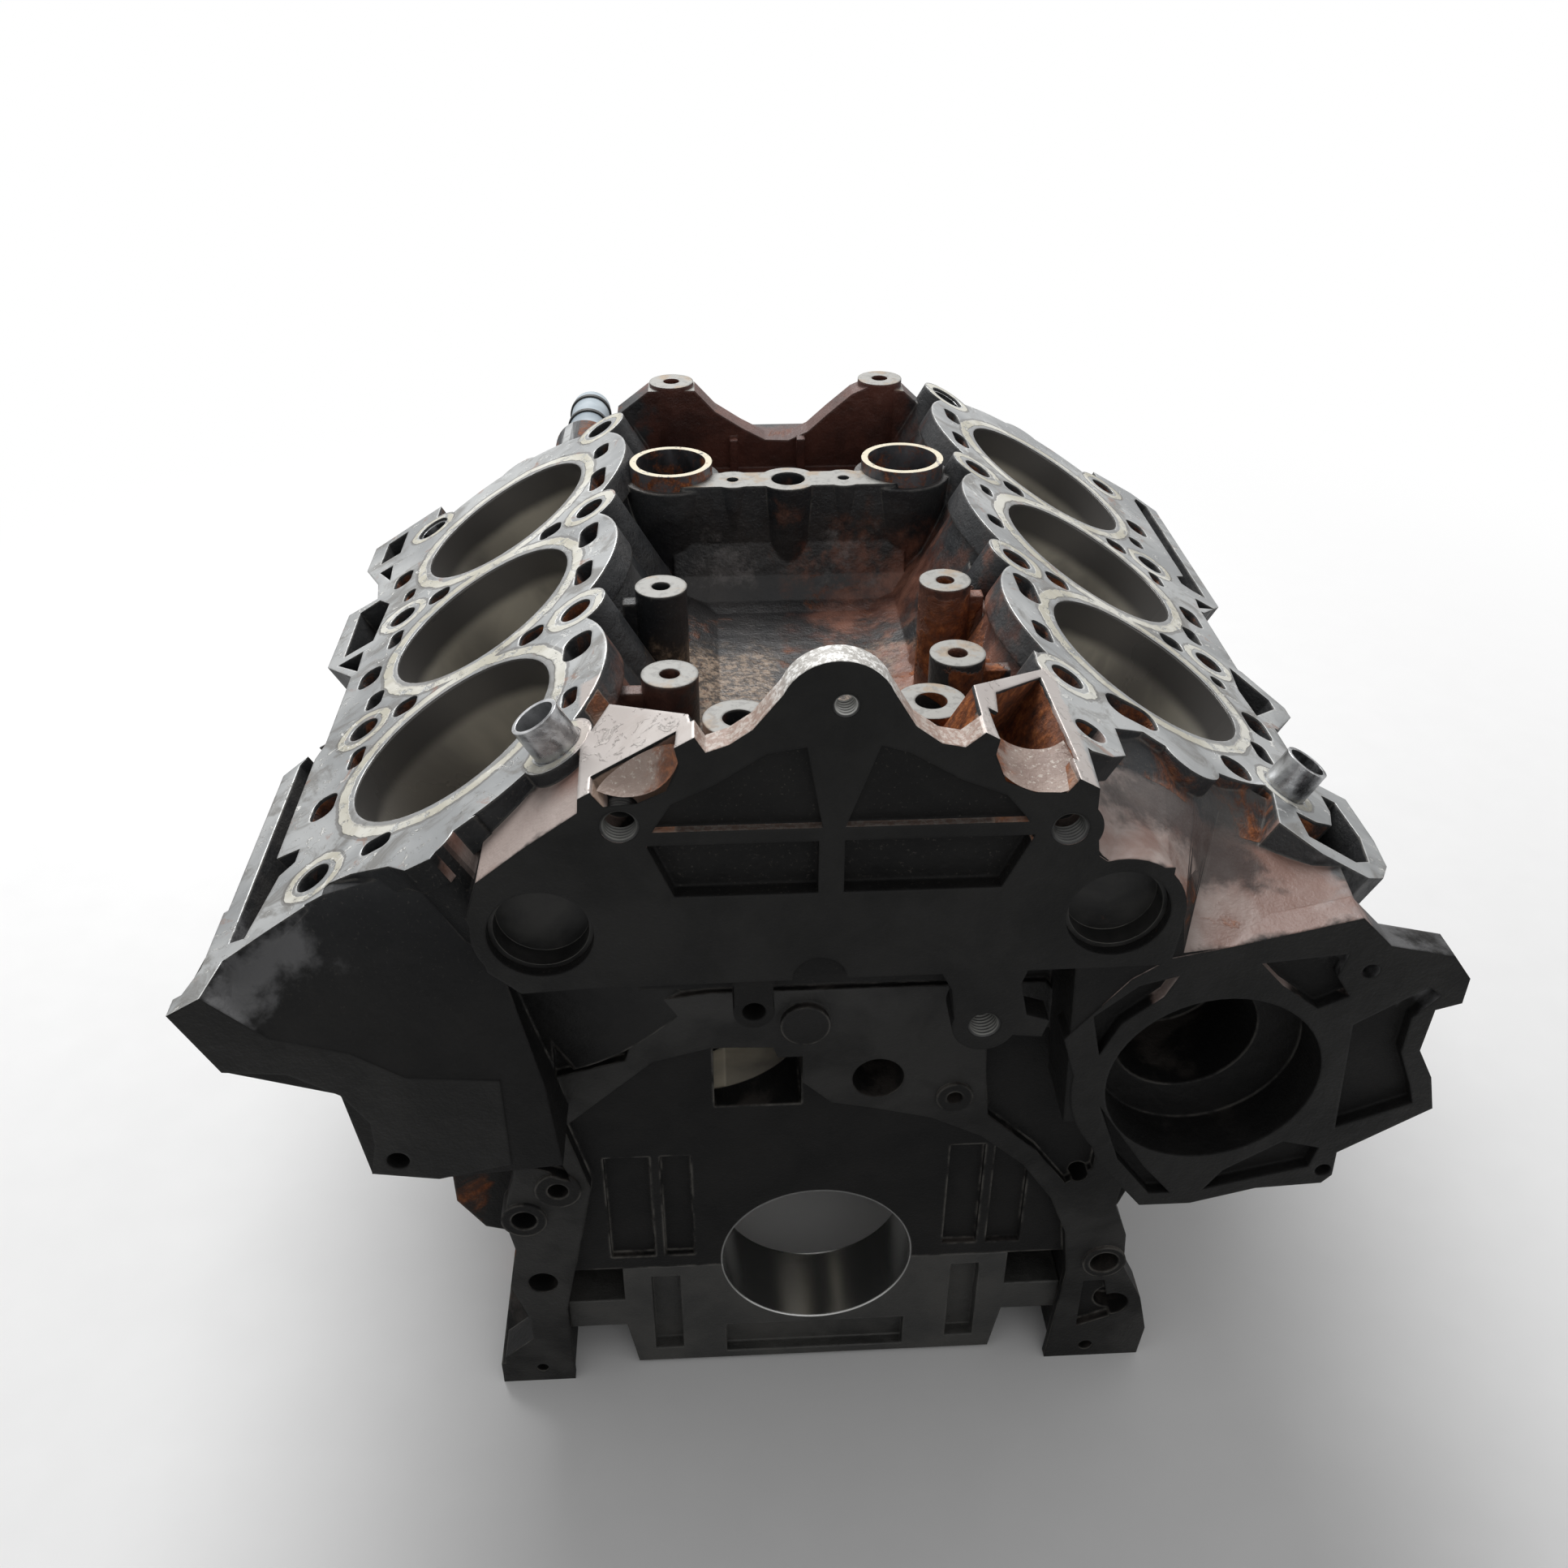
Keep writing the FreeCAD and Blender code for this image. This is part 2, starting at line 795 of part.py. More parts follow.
valley_parts.append(
    slab(
        "bridge",
        "x",
        [
            (bridge_place - 40, valley_floor - 2),
            (bridge_place - 24, valley_floor + 2),
            (bridge_place - 15, valley_floor + 10),
            (bridge_place - 10, valley_floor + 24),
            (bridge_place - 8, valley_pad),
            (bridge_place + 8, valley_pad),
            (bridge_place + 12, valley_floor - 2),
        ],
        -52,
        52,
    )
)
hub_spot = (0, bridge_place, valley_floor - 10)
valley_parts.append(rod("bridge_hub", "z", 13, hub_spot, valley_pad - valley_floor + 10))
for n, across in enumerate((-24.7, 24.7)):
    spot = (across, bridge_place, valley_floor - 10)
    valley_parts.append(rod(f"bridge_ear_{n}", "z", 9.5, spot, valley_pad - valley_floor + 10))
valley_parts.append(
    slab(
        "valley_trough",
        "y",
        [
            (-72, valley_pad - 12),
            (-60, valley_floor + 18),
            (-46, valley_floor + 4),
            (-30, valley_floor - 1),
            (30, valley_floor - 1),
            (46, valley_floor + 4),
            (60, valley_floor + 18),
            (72, valley_pad - 12),
            (64, valley_root),
            (-64, valley_root),
        ],
        wall_back,
        rear_face - 20,
    )
)
valley_parts.append(
    slab(
        "rear_wall",
        "y",
        [
            (-78, valley_floor - 10),
            (-80, valley_pad - 6),
            (-64, valley_pad + 6),
            (-41, valley_pad + 6),
            (-31, valley_pad - 5),
            (-18, valley_pad - 13.5),
            (-6, valley_pad - 20),
            (6, valley_pad - 20.5),
            (16, valley_pad - 16),
            (26, valley_pad - 7),
            (38, valley_pad + 3),
            (46, valley_pad + 6.5),
            (64, valley_pad + 4),
            (78, valley_pad - 9),
            (78, valley_floor - 10),
        ],
        rear_face - 28,
        rear_face - 14,
    )
)
for n, across in enumerate(REAR_BOSSES):
    spot = (across, rear_face - 19, valley_floor - 10)
    valley_parts.append(rod(f"rear_boss_{n}", "z", 11, spot, valley_pad - valley_floor + 18))
for n, across in enumerate((-22, 12)):
    low = (across - 2, rear_face - 34, valley_floor - 2)
    high = (across + 2, rear_face - 27, valley_pad - 18)
    valley_parts.append(block_box(f"rear_rib_{n}", low, high))
valley = fuse("valley", valley_parts)

# Engine mount bosses on the flanks of the crankcase.
MOUNT_OUTLINES = {
    "left": [(-112, 92), (-136, 84), (-146, 60), (-146, 26), (-136, 10), (-112, 2)],
    "right": [(112, 40), (140, 30), (150, 4), (140, -28), (112, -40)],
}
MOUNT_SPANS = {"left": (14, 62), "right": (44, 108)}
mount_parts = []
for bank, corners in MOUNT_OUTLINES.items():
    mount_parts.append(slab(f"{bank}_mount", "y", corners, *MOUNT_SPANS[bank]))
mounts = fuse("mounts", mount_parts)

# ---------------------------------------------------------------- what is cut away


def deck_tools(bank, side):
    """Bores, head bolt holes, water openings and drain windows of one bank."""
    tools = []
    for n in range(3):
        spot = (0, bore_place(bank, n), crankcase_radius - 10)
        tools.append(
            rod(f"{bank}_bore_{n}", "z", bore_radius, spot, deck_height - crankcase_radius + 12)
        )
    for n in range(4):
        for edge in (-1, 1):
            spot = (edge * bolt_offset, bolt_place(bank, n), deck_height - bolt_depth)
            tools.append(
                rod(f"{bank}_bolt_{n}_{edge + 1}", "z", bolt_radius, spot, bolt_depth + PAST)
            )
    return tools


def openings(bank):
    """Water and oil openings: place from the first bore, across, length, width and rounding."""
    rows = {
        "left": [
            (-19, -52, 12, 6),
            (17, -52.6, 18, 12),
            (79, -51, 18, 8),
            (115, -51, 20, 9),
            (174, -52, 22, 8),
            (208, -52, 14, 8),
            (-48, 23, 8, 12),
            (0, 57, 15, 11),
            (26, 48, 14, 7),
            (70, 48.8, 13, 8),
            (96, 57, 15, 11),
            (122, 48.8, 14, 7),
            (166, 49.7, 10, 6),
            (191, 58, 15, 10),
        ],
        "right": [
            (-17, -52.6, 14, 8),
            (20, -51, 22, 10),
            (82, -52.6, 10, 8),
            (118, -50, 10, 6),
            (176, -53, 16, 8),
            (209, -52, 16, 8),
            (-50, -22, 15, 22),
            (-52, 25, 13, 13),
            (-24, 48.8, 14, 8),
            (2, 57, 18, 12),
            (29, 47.4, 8, 7),
            (71, 48.8, 14, 8),
            (97, 57.6, 17, 10),
            (126, 47.4, 12, 7),
            (168, 48.8, 10, 8),
            (195, 57.6, 15, 11),
        ],
    }
    return rows[bank]


def rounded_slot(centre, along, across, radius, low, high):
    """A rounded rectangle across the bank, carried from low to high."""
    half_a = along / 2 - radius
    half_b = across / 2 - radius
    core = Part.makePlane(2 * half_a, 2 * half_b, Vector(-half_a, -half_b, 0))
    face = core.makeOffset2D(radius, join=0)
    solid = face.extrude(Vector(0, 0, high - low))
    solid.rotate(Vector(), Vector(0, 0, 1), 90)
    solid.translate(Vector(centre[0], centre[1], low))
    return solid


def opening_solids(bank, side):
    """The rounded openings of one head face, read from the sheet."""
    solids = []
    first = FIRST_BORE[bank].value
    top = deck_height.value + PAST
    bottom = deck_height.value - 2.2 * deck_flange.value
    for along, across, length, width in openings(bank):
        radius = 0.42 * min(length, width)
        centre = (side * across, first + along)
        solids.append(rounded_slot(centre, length, width, radius, bottom, top))
    for n in (1, 2):
        for across in (-29.5, 29.5):
            centre = (side * across, bolt_place(bank, n).value)
            solids.append(rounded_slot(centre, 11, 11, 4, bottom, top))
    feature = document.addObject("Part::Feature", f"{bank}_openings")
    feature.Shape = Part.makeCompound(solids)
    return feature


DRAIN_WINDOWS = {
    "left": [
        [
            (74, -64),
            (81, -62),
            (81, 48),
            (76, 55),
            (70, 54),
            (73, 46),
            (73, -20),
            (62, -22),
            (62, -30),
            (68, -34),
        ],
        [(67, 111), (68, 130), (82, 130)],
        [(64, 136), (80, 136), (81, 180), (70, 182), (62, 170)],
        [(68, 201), (70, 220), (78, 220)],
        [(68, 232), (80, 232), (80, 256), (68, 258)],
    ],
    "right": [
        [
            (47, -80),
            (68, -82),
            (77, -76),
            (82, -58),
            (80, -36),
            (73, -36),
            (72, -48),
            (67, -60),
            (58, -64),
            (48, -64),
        ],
        [(62, 14), (80, 34), (80, 41), (64, 56), (60, 33)],
        [(70, 118), (72, 130), (84, 130)],
        [(74, 140), (82, 140), (82, 250), (76, 254), (73, 248), (74, 156), (68, 150), (68, 142)],
    ],
}

bank_tools = []
for bank, side in BANKS.items():
    windows = []
    for n, corners in enumerate(DRAIN_WINDOWS[bank]):
        low = deck_height - curtain_depth + 12
        windows.append(
            bank_slab(f"{bank}_window_{n}", bank, side, corners, low, deck_height + PAST)
        )
    bank_tools.append(tilt(fuse(f"{bank}_tools", deck_tools(bank, side) + windows), side))
    bank_tools.append(tilt(together(f"{bank}_slots", [opening_solids(bank, side)]), side))

MAINS = 4


def main_span(number):
    """Front and rear face of a main bearing wall."""
    if number == 0:
        return as_size(0), front_bulkhead
    centre = main_centre + number * bore_pitch
    if number == MAINS - 1:
        return centre - bulkhead / 2, rear_face - 9
    return centre - bulkhead / 2, centre + bulkhead / 2


crank_tools = [
    block_box(
        "below_sump",
        (-pan_width - 20, -front_face - PAST, -crankcase_radius - crankcase_wall - PAST),
        (pan_width + 20, rear_face + PAST, -pan_drop),
    )
]
crank_tools.append(
    rod("main_bore", "y", main_radius, (0, -front_face, 0), rear_face + front_face + PAST)
)
for n in range(MAINS - 1):
    front = main_span(n)[1]
    rear = main_span(n + 1)[0]
    arch = rod(f"bay_arch_{n}", "y", crankcase_radius, (0, front, 0), rear - front)
    drop = block_box(
        f"bay_drop_{n}",
        (-crankcase_radius, front, -pan_drop - PAST),
        (crankcase_radius, rear, 0),
    )
    crank_tools.append(fuse(f"bay_{n}", [arch, drop]))
for n in range(MAINS):
    front, rear = main_span(n)
    crank_tools.append(
        block_box(
            f"cap_space_{n}",
            (-crankcase_radius, front - PAST if n == 0 else front, -pan_drop - PAST),
            (crankcase_radius, rear + PAST if n == MAINS - 1 else rear, -cap_split),
        )
    )
crank_tools.append(
    slab(
        "front_mouth",
        "y",
        [
            (-103.5, -pan_drop - PAST),
            (-103.5, -20),
            (-89, 52),
            (-97, 86),
            (-62, 118),
            (-40, 124),
            (-18, 123),
            (-14, 112),
            (4, 94),
            (21, 90),
            (42, 84),
            (62, 73),
            (80, 56),
            (93, 36),
            (101, 15),
            (104, -10),
            (100, -pan_drop - PAST),
        ],
        -rail_face - PAST,
        0,
    )
)
crank_tools.append(
    block_box("chain_window", (-40, -rail_face - PAST, 88), (-7, front_bulkhead + PAST, 118))
)
# Webs outside the oil seal rail stand back from it.
RAIL_RECESSES = {
    "upper_left": [(-98, 112), (-72, 119), (-68, 132), (-80, 139), (-97, 134)],
    "lower_left": [(-112, 88), (-106, 86), (-96, 58), (-104, 62), (-113, 66)],
    "upper_right": [(64, 84), (84, 64), (98, 44), (108, 52), (110, 92), (84, 128), (60, 130), (62, 100)],
    "lower_right": [(112, -16), (121, -16), (126, -40), (112, -46)],
}
for name, corners in RAIL_RECESSES.items():
    crank_tools.append(slab(f"web_{name}", "y", corners, -rail_face - PAST, -rail_face + 4))

RIB_SPACES = ((-84, -66), (-62, -50), (52, 66), (70, 84))
for n, (low, high) in enumerate(RIB_SPACES):
    crank_tools.append(block_box(f"bulkhead_panel_{n}", (low, -PAST, 4), (high, 3, 62)))


def front_hole(name, radius, across, up, plane, depth):
    """A round hole bored backwards from a face of the timing end."""
    return front_rod(name, radius, across, up, -plane - PAST, -plane + depth)


# Radius, across, up and depth of the holes in the oil seal rail.
RAIL_HOLES = (
    (9.7, 21.2, 105.6, 40),
    (5.5, -6.4, 135.5, 24),
    (3, 50.3, 95.3, 12),
    (3.5, 103, 48.5, 12),
    (3.5, -104.4, 100, 12),
    (4, -101.5, 53, 12),
    (5, -116, 37, 12),
    (6, -112, -2.4, 12),
    (2.5, -116.8, -57.6, 12),
    (6, 119, -3, 12),
    (7, 126, -31.8, 12),
    (3, 117.6, -59, 12),
)
front_tools = [
    front_hole("hump_hole", 4, 2.2, hump_height + 2.7, front_face, front_wall + PAST),
    front_hole("pump_bore", pump_radius, *PUMP_SPOT, front_face, 20),
    front_hole("pump_throat", 26, PUMP_SPOT[0] - 5, PUMP_SPOT[1] + 5, front_face, 54),
    front_hole("slot_hole", 4, -25.5, front_foot - 18, front_face - 4, 12),
    front_hole("hanging_hole", 5.5, 52, front_foot - 24, front_face, 16),
    front_hole("half_moon", 9, -4, front_foot - 1, front_face, 3),
]
for n, (radius, across, up, depth) in enumerate(RAIL_HOLES):
    front_tools.append(front_hole(f"rail_hole_{n}", radius, across, up, rail_face, depth))
for label, (across, up) in LIFT_HOLES.items():
    front_tools.append(front_hole(f"lift_hole_{label}", 6, across, up, front_face, 14))
for label, (across, up) in CORE_PLUGS.items():
    front_tools.append(
        front_hole(f"core_hole_{label}", plug_radius, across, up, front_face, plug_depth + 4)
    )

# Shallow cast panels of the front wall, between its ribs.
FRONT_PANELS = {
    "low_left": ([(-50, -8), (-5, -8), (-5, 12), (-58, 12)], 6),
    "low_right": ([(3, -8), (53, -8), (62, 12), (3, 12)], 6),
    "top_left": ([(-56, 17), (-4, 17), (-9, 46), (-21, 44), (-36, 34), (-50, 27)], 3),
    "top_right": ([(3, 17), (60, 17), (52, 27), (38, 33), (22, 43), (13, 46)], 3),
}
for name, (corners, depth) in FRONT_PANELS.items():
    spots = [(across, bore_line + up) for across, up in corners]
    front_tools.append(
        slab(f"panel_{name}", "y", spots, -front_face - PAST, -front_face + depth)
    )

# Cast recesses between the ribs round the water pump bore.
PUMP_RECESSES = {
    "upper_left": [(93, 142), (89, 160), (103, 173), (116, 177), (112, 168), (99, 156)],
    "upper_right": [(143, 181), (172, 184), (170, 174), (176, 165), (166, 160), (152, 171)],
    "right": [
        (180, 152),
        (203, 168),
        (208, 164),
        (200, 154),
        (200, 138),
        (207, 122),
        (210, 113),
        (184, 102),
    ],
    "lower": [(180, 92), (178, 82), (158, 77), (140, 72), (146, 82), (166, 96)],
    "lower_left": [(128, 71), (120, 71), (106, 90), (96, 118), (102, 108), (116, 86)],
}
for name, corners in PUMP_RECESSES.items():
    front_tools.append(slab(f"pump_{name}", "y", corners, -front_face - PAST, -front_face + 5))
for n, (across, up) in enumerate(((181, 176), (184, 80))):
    front_tools.append(front_hole(f"pump_hole_{n}", 3, across, up, front_face, 15))
front_tools.append(front_hole("flange_hole", 4, -151, 104, front_face, 14))

# Scoops of the lifting ears: a ramp from the low front lip into a deep pocket behind it.
SCOOP_POCKETS = {
    "left": [(-71, -8), (-96, -24), (-95, -30), (-67, -30)],
    "right": [(-64, 27), (-89, -4), (-92, -24), (-62, -24)],
}
SCOOP_FLOORS = {"left": 18, "right": 24}
SCOOP_ENDS = {"left": -27, "right": -18}
LIP = [(-64, 3), (-65, -4), (-74, -9), (-84, -10), (-92, -3), (-95, 3)]
for bank, side in BANKS.items():
    floor = deck_height - SCOOP_FLOORS[bank]
    corners = [(side * across, along) for across, along in SCOOP_POCKETS[bank]]
    pocket = slab(f"{bank}_scoop_pocket", "z", corners, floor, deck_height + PAST)
    lip = [(side * across, deck_height + up) for across, up in LIP]
    sunk = [
        (side * -64, deck_height + 3),
        (side * -65, floor + 1),
        (side * -74, floor),
        (side * -84, floor),
        (side * -93, floor + 2),
        (side * -95, deck_height + 3),
    ]
    ramp = wedge(f"{bank}_scoop_ramp", lip, sunk, -front_face - PAST, as_size(SCOOP_ENDS[bank]))
    front_tools.append(tilt(together(f"{bank}_scoops", [pocket, ramp]), side))
extra_hole = rod(
    "right_end_hole", "z", 6, (-49.7, FIRST_BORE["right"] - 84.3, deck_height - 30), 30 + PAST
)
front_tools.append(tilt(together("right_end_holes", [extra_hole]), 1))

valley_tools = []
for n, (across, along) in enumerate(VALLEY_BOSSES):
    valley_tools.append(rod(f"valley_hole_{n}", "z", 3.6, (across, along, valley_pad - 22), 24))
for n, (across, along) in enumerate(VALLEY_PADS):
    valley_tools.append(rod(f"pad_hole_{n}", "z", 5.5, (across, along, valley_pad - 22), 24))
for n, across in enumerate(TOWERS):
    spot = (across, tower_place, valley_pad - ring_seat)
    valley_tools.append(rod(f"ring_hole_{n}", "z", ring_radius, spot, ring_seat + PAST))
    spot = (across, tower_place, valley_pad - ring_seat - 11)
    valley_tools.append(rod(f"ring_throat_{n}", "z", ring_radius - 7, spot, 12))
valley_tools.append(rod("bridge_hole", "z", 7.5, (0, bridge_place, valley_pad - 30), 32))
for n, across in enumerate((-24.7, 24.7)):
    valley_tools.append(rod(f"bridge_bolt_{n}", "z", 2.6, (across, bridge_place, valley_pad - 16), 18))
for n, across in enumerate(REAR_BOSSES):
    valley_tools.append(rod(f"rear_boss_hole_{n}", "z", 4, (across, rear_face - 19, valley_pad - 14), 24))

bolt_tools = []
for n in range(MAINS):
    front, rear = main_span(n)
    middle = (front + rear) / 2
    for across in (-1, 1):
        spot = (across * cap_bolt_spread, middle, -cap_split - 1)
        bolt_tools.append(
            rod(f"cap_thread_{n}_{across + 1}", "z", cap_bolt_radius, spot, cap_bolt_reach + 1)
        )
        start = crankcase_radius - 1 if across > 0 else -skirt - 3
        spot = (start, middle, -lug_centre)
        bolt_tools.append(
            rod(
                f"side_hole_{n}_{across + 1}",
                "x",
                side_bolt_radius + 0.4,
                spot,
                crankcase_wall + 4,
            )
        )

# ---------------------------------------------------------------- core plug seats

side_tools = []
side_bosses = []
PLUG_LEVEL = 87
for bank, side in BANKS.items():
    seats = []
    bosses = []
    for n in range(3):
        inner = jacket_radius + 4 - plug_depth - 1
        low, high = outward(side, inner, jacket_radius + 12)
        spot = (low, bore_place(bank, n), deck_height - PLUG_LEVEL)
        seats.append(rod(f"{bank}_plug_seat_{n}", "x", side_plug_radius, spot, high - low))
        low, high = outward(side, jacket_radius - 14, jacket_radius + 4)
        spot = (low, bore_place(bank, n), deck_height - PLUG_LEVEL)
        boss = rod(f"{bank}_plug_boss_{n}", "x", side_plug_radius + 6, spot, high - low)
        bosses.append(boss)
    side_tools.append(tilt(together(f"{bank}_plug_seats", seats), side))
    side_bosses.append(tilt(together(f"{bank}_plug_bosses", bosses), side))
REAR_PLUG = {"left": (-62, bore_line - 46.4), "right": (62, bore_line - 46.4)}
for label, (across, up) in REAR_PLUG.items():
    spot = (across, rear_face - plug_depth - 2, up)
    side_tools.append(rod(f"rear_seat_{label}", "y", side_plug_radius, spot, plug_depth + 2 * PAST))

# Seats of the head dowels, sunk round two head bolt holes of each bank.
DOWEL_SINK = 10.0
dowel_tools = [rod("pipe_seat", "y", 10.1, (PIPE_SPOT[0], pipe_rear, PIPE_SPOT[1]), 30)]
DOWEL_SPOTS = {
    "left": (-1, 0, -1),
    "right": (1, 0, 1),
}
RING_SPOTS = {
    "left": (-1, 3, 1),
    "right": (1, 3, -1),
}


def head_seat(name, spots, bank, radius, low, height):
    side, number, edge = spots[bank]
    spot = (side * edge * bolt_offset, bolt_place(bank, number), low)
    return rod(name, "z", radius, spot, height)


for bank, side in BANKS.items():
    for label, spots in (("tall", DOWEL_SPOTS), ("flush", RING_SPOTS)):
        seat = head_seat(
            f"{bank}_{label}_seat",
            spots,
            bank,
            dowel_radius,
            deck_height - DOWEL_SINK,
            DOWEL_SINK + PAST,
        )
        dowel_tools.append(tilt(together(f"{bank}_{label}_seats", [seat]), side))


# ---------------------------------------------------------------- the casting

casting = fuse(
    "casting_rough", [left_bank, right_bank, crankcase, timing_end, valley, mounts] + side_bosses
)
hollows = fuse(
    "hollows",
    bank_tools
    + crank_tools
    + front_tools
    + valley_tools
    + bolt_tools
    + side_tools
    + dowel_tools,
)
cylinder_block = cut("cylinder_block", casting, hollows)
NODES = {"cylinder_block": cylinder_block}

# ---------------------------------------------------------------- main caps and their bolts

CAP_PLAY = 0.3
HEAD_HEIGHT = 8.0
HEAD_SINK = 9.5
cap_foot = -pan_drop + cap_gap
bolt_sets = []
side_sets = []


def hexagon(name, axis, radius, spot, height):
    item = document.addObject("Part::Prism", name)
    item.Polygon = 6
    bind(item, "Circumradius", radius)
    bind(item, "Height", height)
    return place(item, spot, AXIS_TURNS[axis])


for n in range(MAINS):
    front, rear = main_span(n)
    middle = (front + rear) / 2
    reach = crankcase_radius - CAP_PLAY
    body = slab(
        f"cap_{n}_body",
        "y",
        [
            (-cap_half, -cap_split),
            (cap_half, -cap_split),
            (cap_half, -lug_centre + lug_height / 2),
            (reach, -lug_centre + lug_height / 2),
            (reach, -lug_centre - lug_height / 2),
            (cap_half, -lug_centre - lug_height / 2),
            (cap_half - 4, cap_foot),
            (-cap_half + 4, cap_foot),
            (-cap_half, -lug_centre - lug_height / 2),
            (-reach, -lug_centre - lug_height / 2),
            (-reach, -lug_centre + lug_height / 2),
            (-cap_half, -lug_centre + lug_height / 2),
        ],
        front,
        rear,
    )
    tools = [rod(f"cap_{n}_bore", "y", main_radius, (0, front - PAST, 0), rear - front + 2 * PAST)]
    shanks = []
    for side in (-1, 1):
        across = side * cap_bolt_spread
        spot = (across, middle, cap_foot - PAST)
        height = -cap_split - cap_foot + 2 * PAST
        tools.append(rod(f"cap_{n}_hole_{side + 1}", "z", cap_bolt_radius + 0.5, spot, height))
        spot = (across, middle, cap_foot - PAST)
        tools.append(rod(f"cap_{n}_sink_{side + 1}", "z", 12, spot, HEAD_SINK + PAST))
        spot = (across, middle, cap_foot + HEAD_SINK - HEAD_HEIGHT)
        head = hexagon(f"cap_{n}_head_{side + 1}", "z", 9.8, spot, HEAD_HEIGHT)
        spot = (across, middle, cap_foot + HEAD_SINK - 1)
        shank = rod(
            f"cap_{n}_shank_{side + 1}",
            "z",
            cap_bolt_radius - fit_clearance,
            spot,
            -cap_split - cap_foot - HEAD_SINK + cap_bolt_reach,
        )
        bolt_sets.append(fuse(f"cap_{n}_bolt_{side + 1}", [head, shank]))
        pocket = block_box(
            f"cap_{n}_slot_{side + 1}",
            (side * 62.5 - 6, front - PAST, cap_foot + 8),
            (side * 62.5 + 6, front + 6, -cap_split - 6),
        )
        tools.append(pocket)
        start = reach - 20 if side > 0 else -reach - PAST
        spot = (start, middle, -lug_centre)
        tools.append(rod(f"cap_{n}_thread_{side + 1}", "x", side_bolt_radius, spot, 20 + PAST))
        start = reach - 18 if side > 0 else -skirt
        spot = (start, middle, -lug_centre)
        length = skirt - reach + 18
        shank = rod(f"side_{n}_shank_{side + 1}", "x", side_bolt_radius - fit_clearance, spot, length)
        start = skirt if side > 0 else -skirt - 5.5
        head = hexagon(f"side_{n}_head_{side + 1}", "x", 7.2, (start, middle, -lug_centre), 5.5)
        side_sets.append(fuse(f"side_{n}_bolt_{side + 1}", [head, shank]))
    tools.append(
        block_box(
            f"cap_{n}_groove",
            (-38, front - PAST, cap_foot + 4),
            (38, front + 5, -42),
        )
    )
    NODES[f"main_cap_{n + 1}"] = cut(f"main_cap_{n + 1}", body, fuse(f"cap_{n}_tools", tools))
NODES["main_cap_bolts"] = together("main_cap_bolts", bolt_sets)
NODES["cap_side_bolts"] = together("cap_side_bolts", side_sets)

# ---------------------------------------------------------------- core plugs


def cup(name, axis, radius, spot, mouth_first):
    """A pressed sheet cup whose flat bottom rests on the floor of its seat."""
    shell = rod(name + "_shell", axis, radius - fit_clearance, spot, plug_depth)
    step = {"x": 0, "y": 1}[axis]
    inner = list(spot)
    inner[step] = inner[step] - PAST if mouth_first else inner[step] + plug_wall
    inside = radius - fit_clearance - plug_wall
    hollow = rod(name + "_hollow", axis, inside, tuple(inner), plug_depth - plug_wall + PAST)
    return cut(name, shell, hollow)


for label, (across, up) in CORE_PLUGS.items():
    spot = (across, -front_face + 4, up)
    NODES[f"front_core_plug_{label}"] = cup(f"front_core_plug_{label}", "y", plug_radius, spot, True)
for label, (across, up) in REAR_PLUG.items():
    spot = (across, rear_face - plug_depth - 2, up)
    NODES[f"rear_core_plug_{label}"] = cup(f"rear_core_plug_{label}", "y", side_plug_radius, spot, False)
for bank, side in BANKS.items():
    cups = []
    for n in range(3):
        inner = jacket_radius + 4 - plug_depth - 1
        low, high = outward(side, inner, inner + plug_depth)
        spot = (low, bore_place(bank, n), deck_height - PLUG_LEVEL)
        cups.append(cup(f"{bank}_side_plug_{n}", "x", side_plug_radius, spot, side < 0))
    NODES[f"side_core_plugs_{bank}"] = tilt(together(f"side_core_plugs_{bank}", cups), side)

# ---------------------------------------------------------------- dowels, sleeves and pipe

rings = []
for bank, side in BANKS.items():
    low = deck_height - DOWEL_SINK
    tube = head_seat(
        f"{bank}_dowel_tube",
        DOWEL_SPOTS,
        bank,
        dowel_radius - fit_clearance,
        low,
        DOWEL_SINK + dowel_height,
    )
    hollow = head_seat(
        f"{bank}_dowel_hollow",
        DOWEL_SPOTS,
        bank,
        dowel_radius - dowel_wall,
        low - PAST,
        DOWEL_SINK + dowel_height + 2 * PAST,
    )
    dowel = cut(f"{bank}_dowel", tube, hollow)
    NODES[f"head_dowel_{bank}"] = tilt(together(f"head_dowel_{bank}", [dowel]), side)
    tube = head_seat(
        f"{bank}_ring_tube", RING_SPOTS, bank, dowel_radius - fit_clearance, low, DOWEL_SINK - 1
    )
    hollow = head_seat(
        f"{bank}_ring_hollow", RING_SPOTS, bank, bolt_radius, low - PAST, DOWEL_SINK + 2 * PAST
    )
    ring = cut(f"{bank}_ring", tube, hollow)
    rings.append(tilt(together(f"{bank}_ring_set", [ring]), side))
NODES["head_ring_dowels"] = together("head_ring_dowels", rings)

SLEEVE_PROUD = 5.0
for label, across in zip(BANKS, TOWERS):
    spot = (across, tower_place, valley_pad - ring_seat)
    length = ring_seat + SLEEVE_PROUD
    tube = rod(f"sleeve_{label}_tube", "z", ring_radius - fit_clearance, spot, length)
    spot = (across, tower_place, valley_pad - ring_seat - PAST)
    hollow = rod(f"sleeve_{label}_hollow", "z", ring_radius - 3, spot, length + 2 * PAST)
    NODES[f"valley_sleeve_{label}"] = cut(f"valley_sleeve_{label}", tube, hollow)

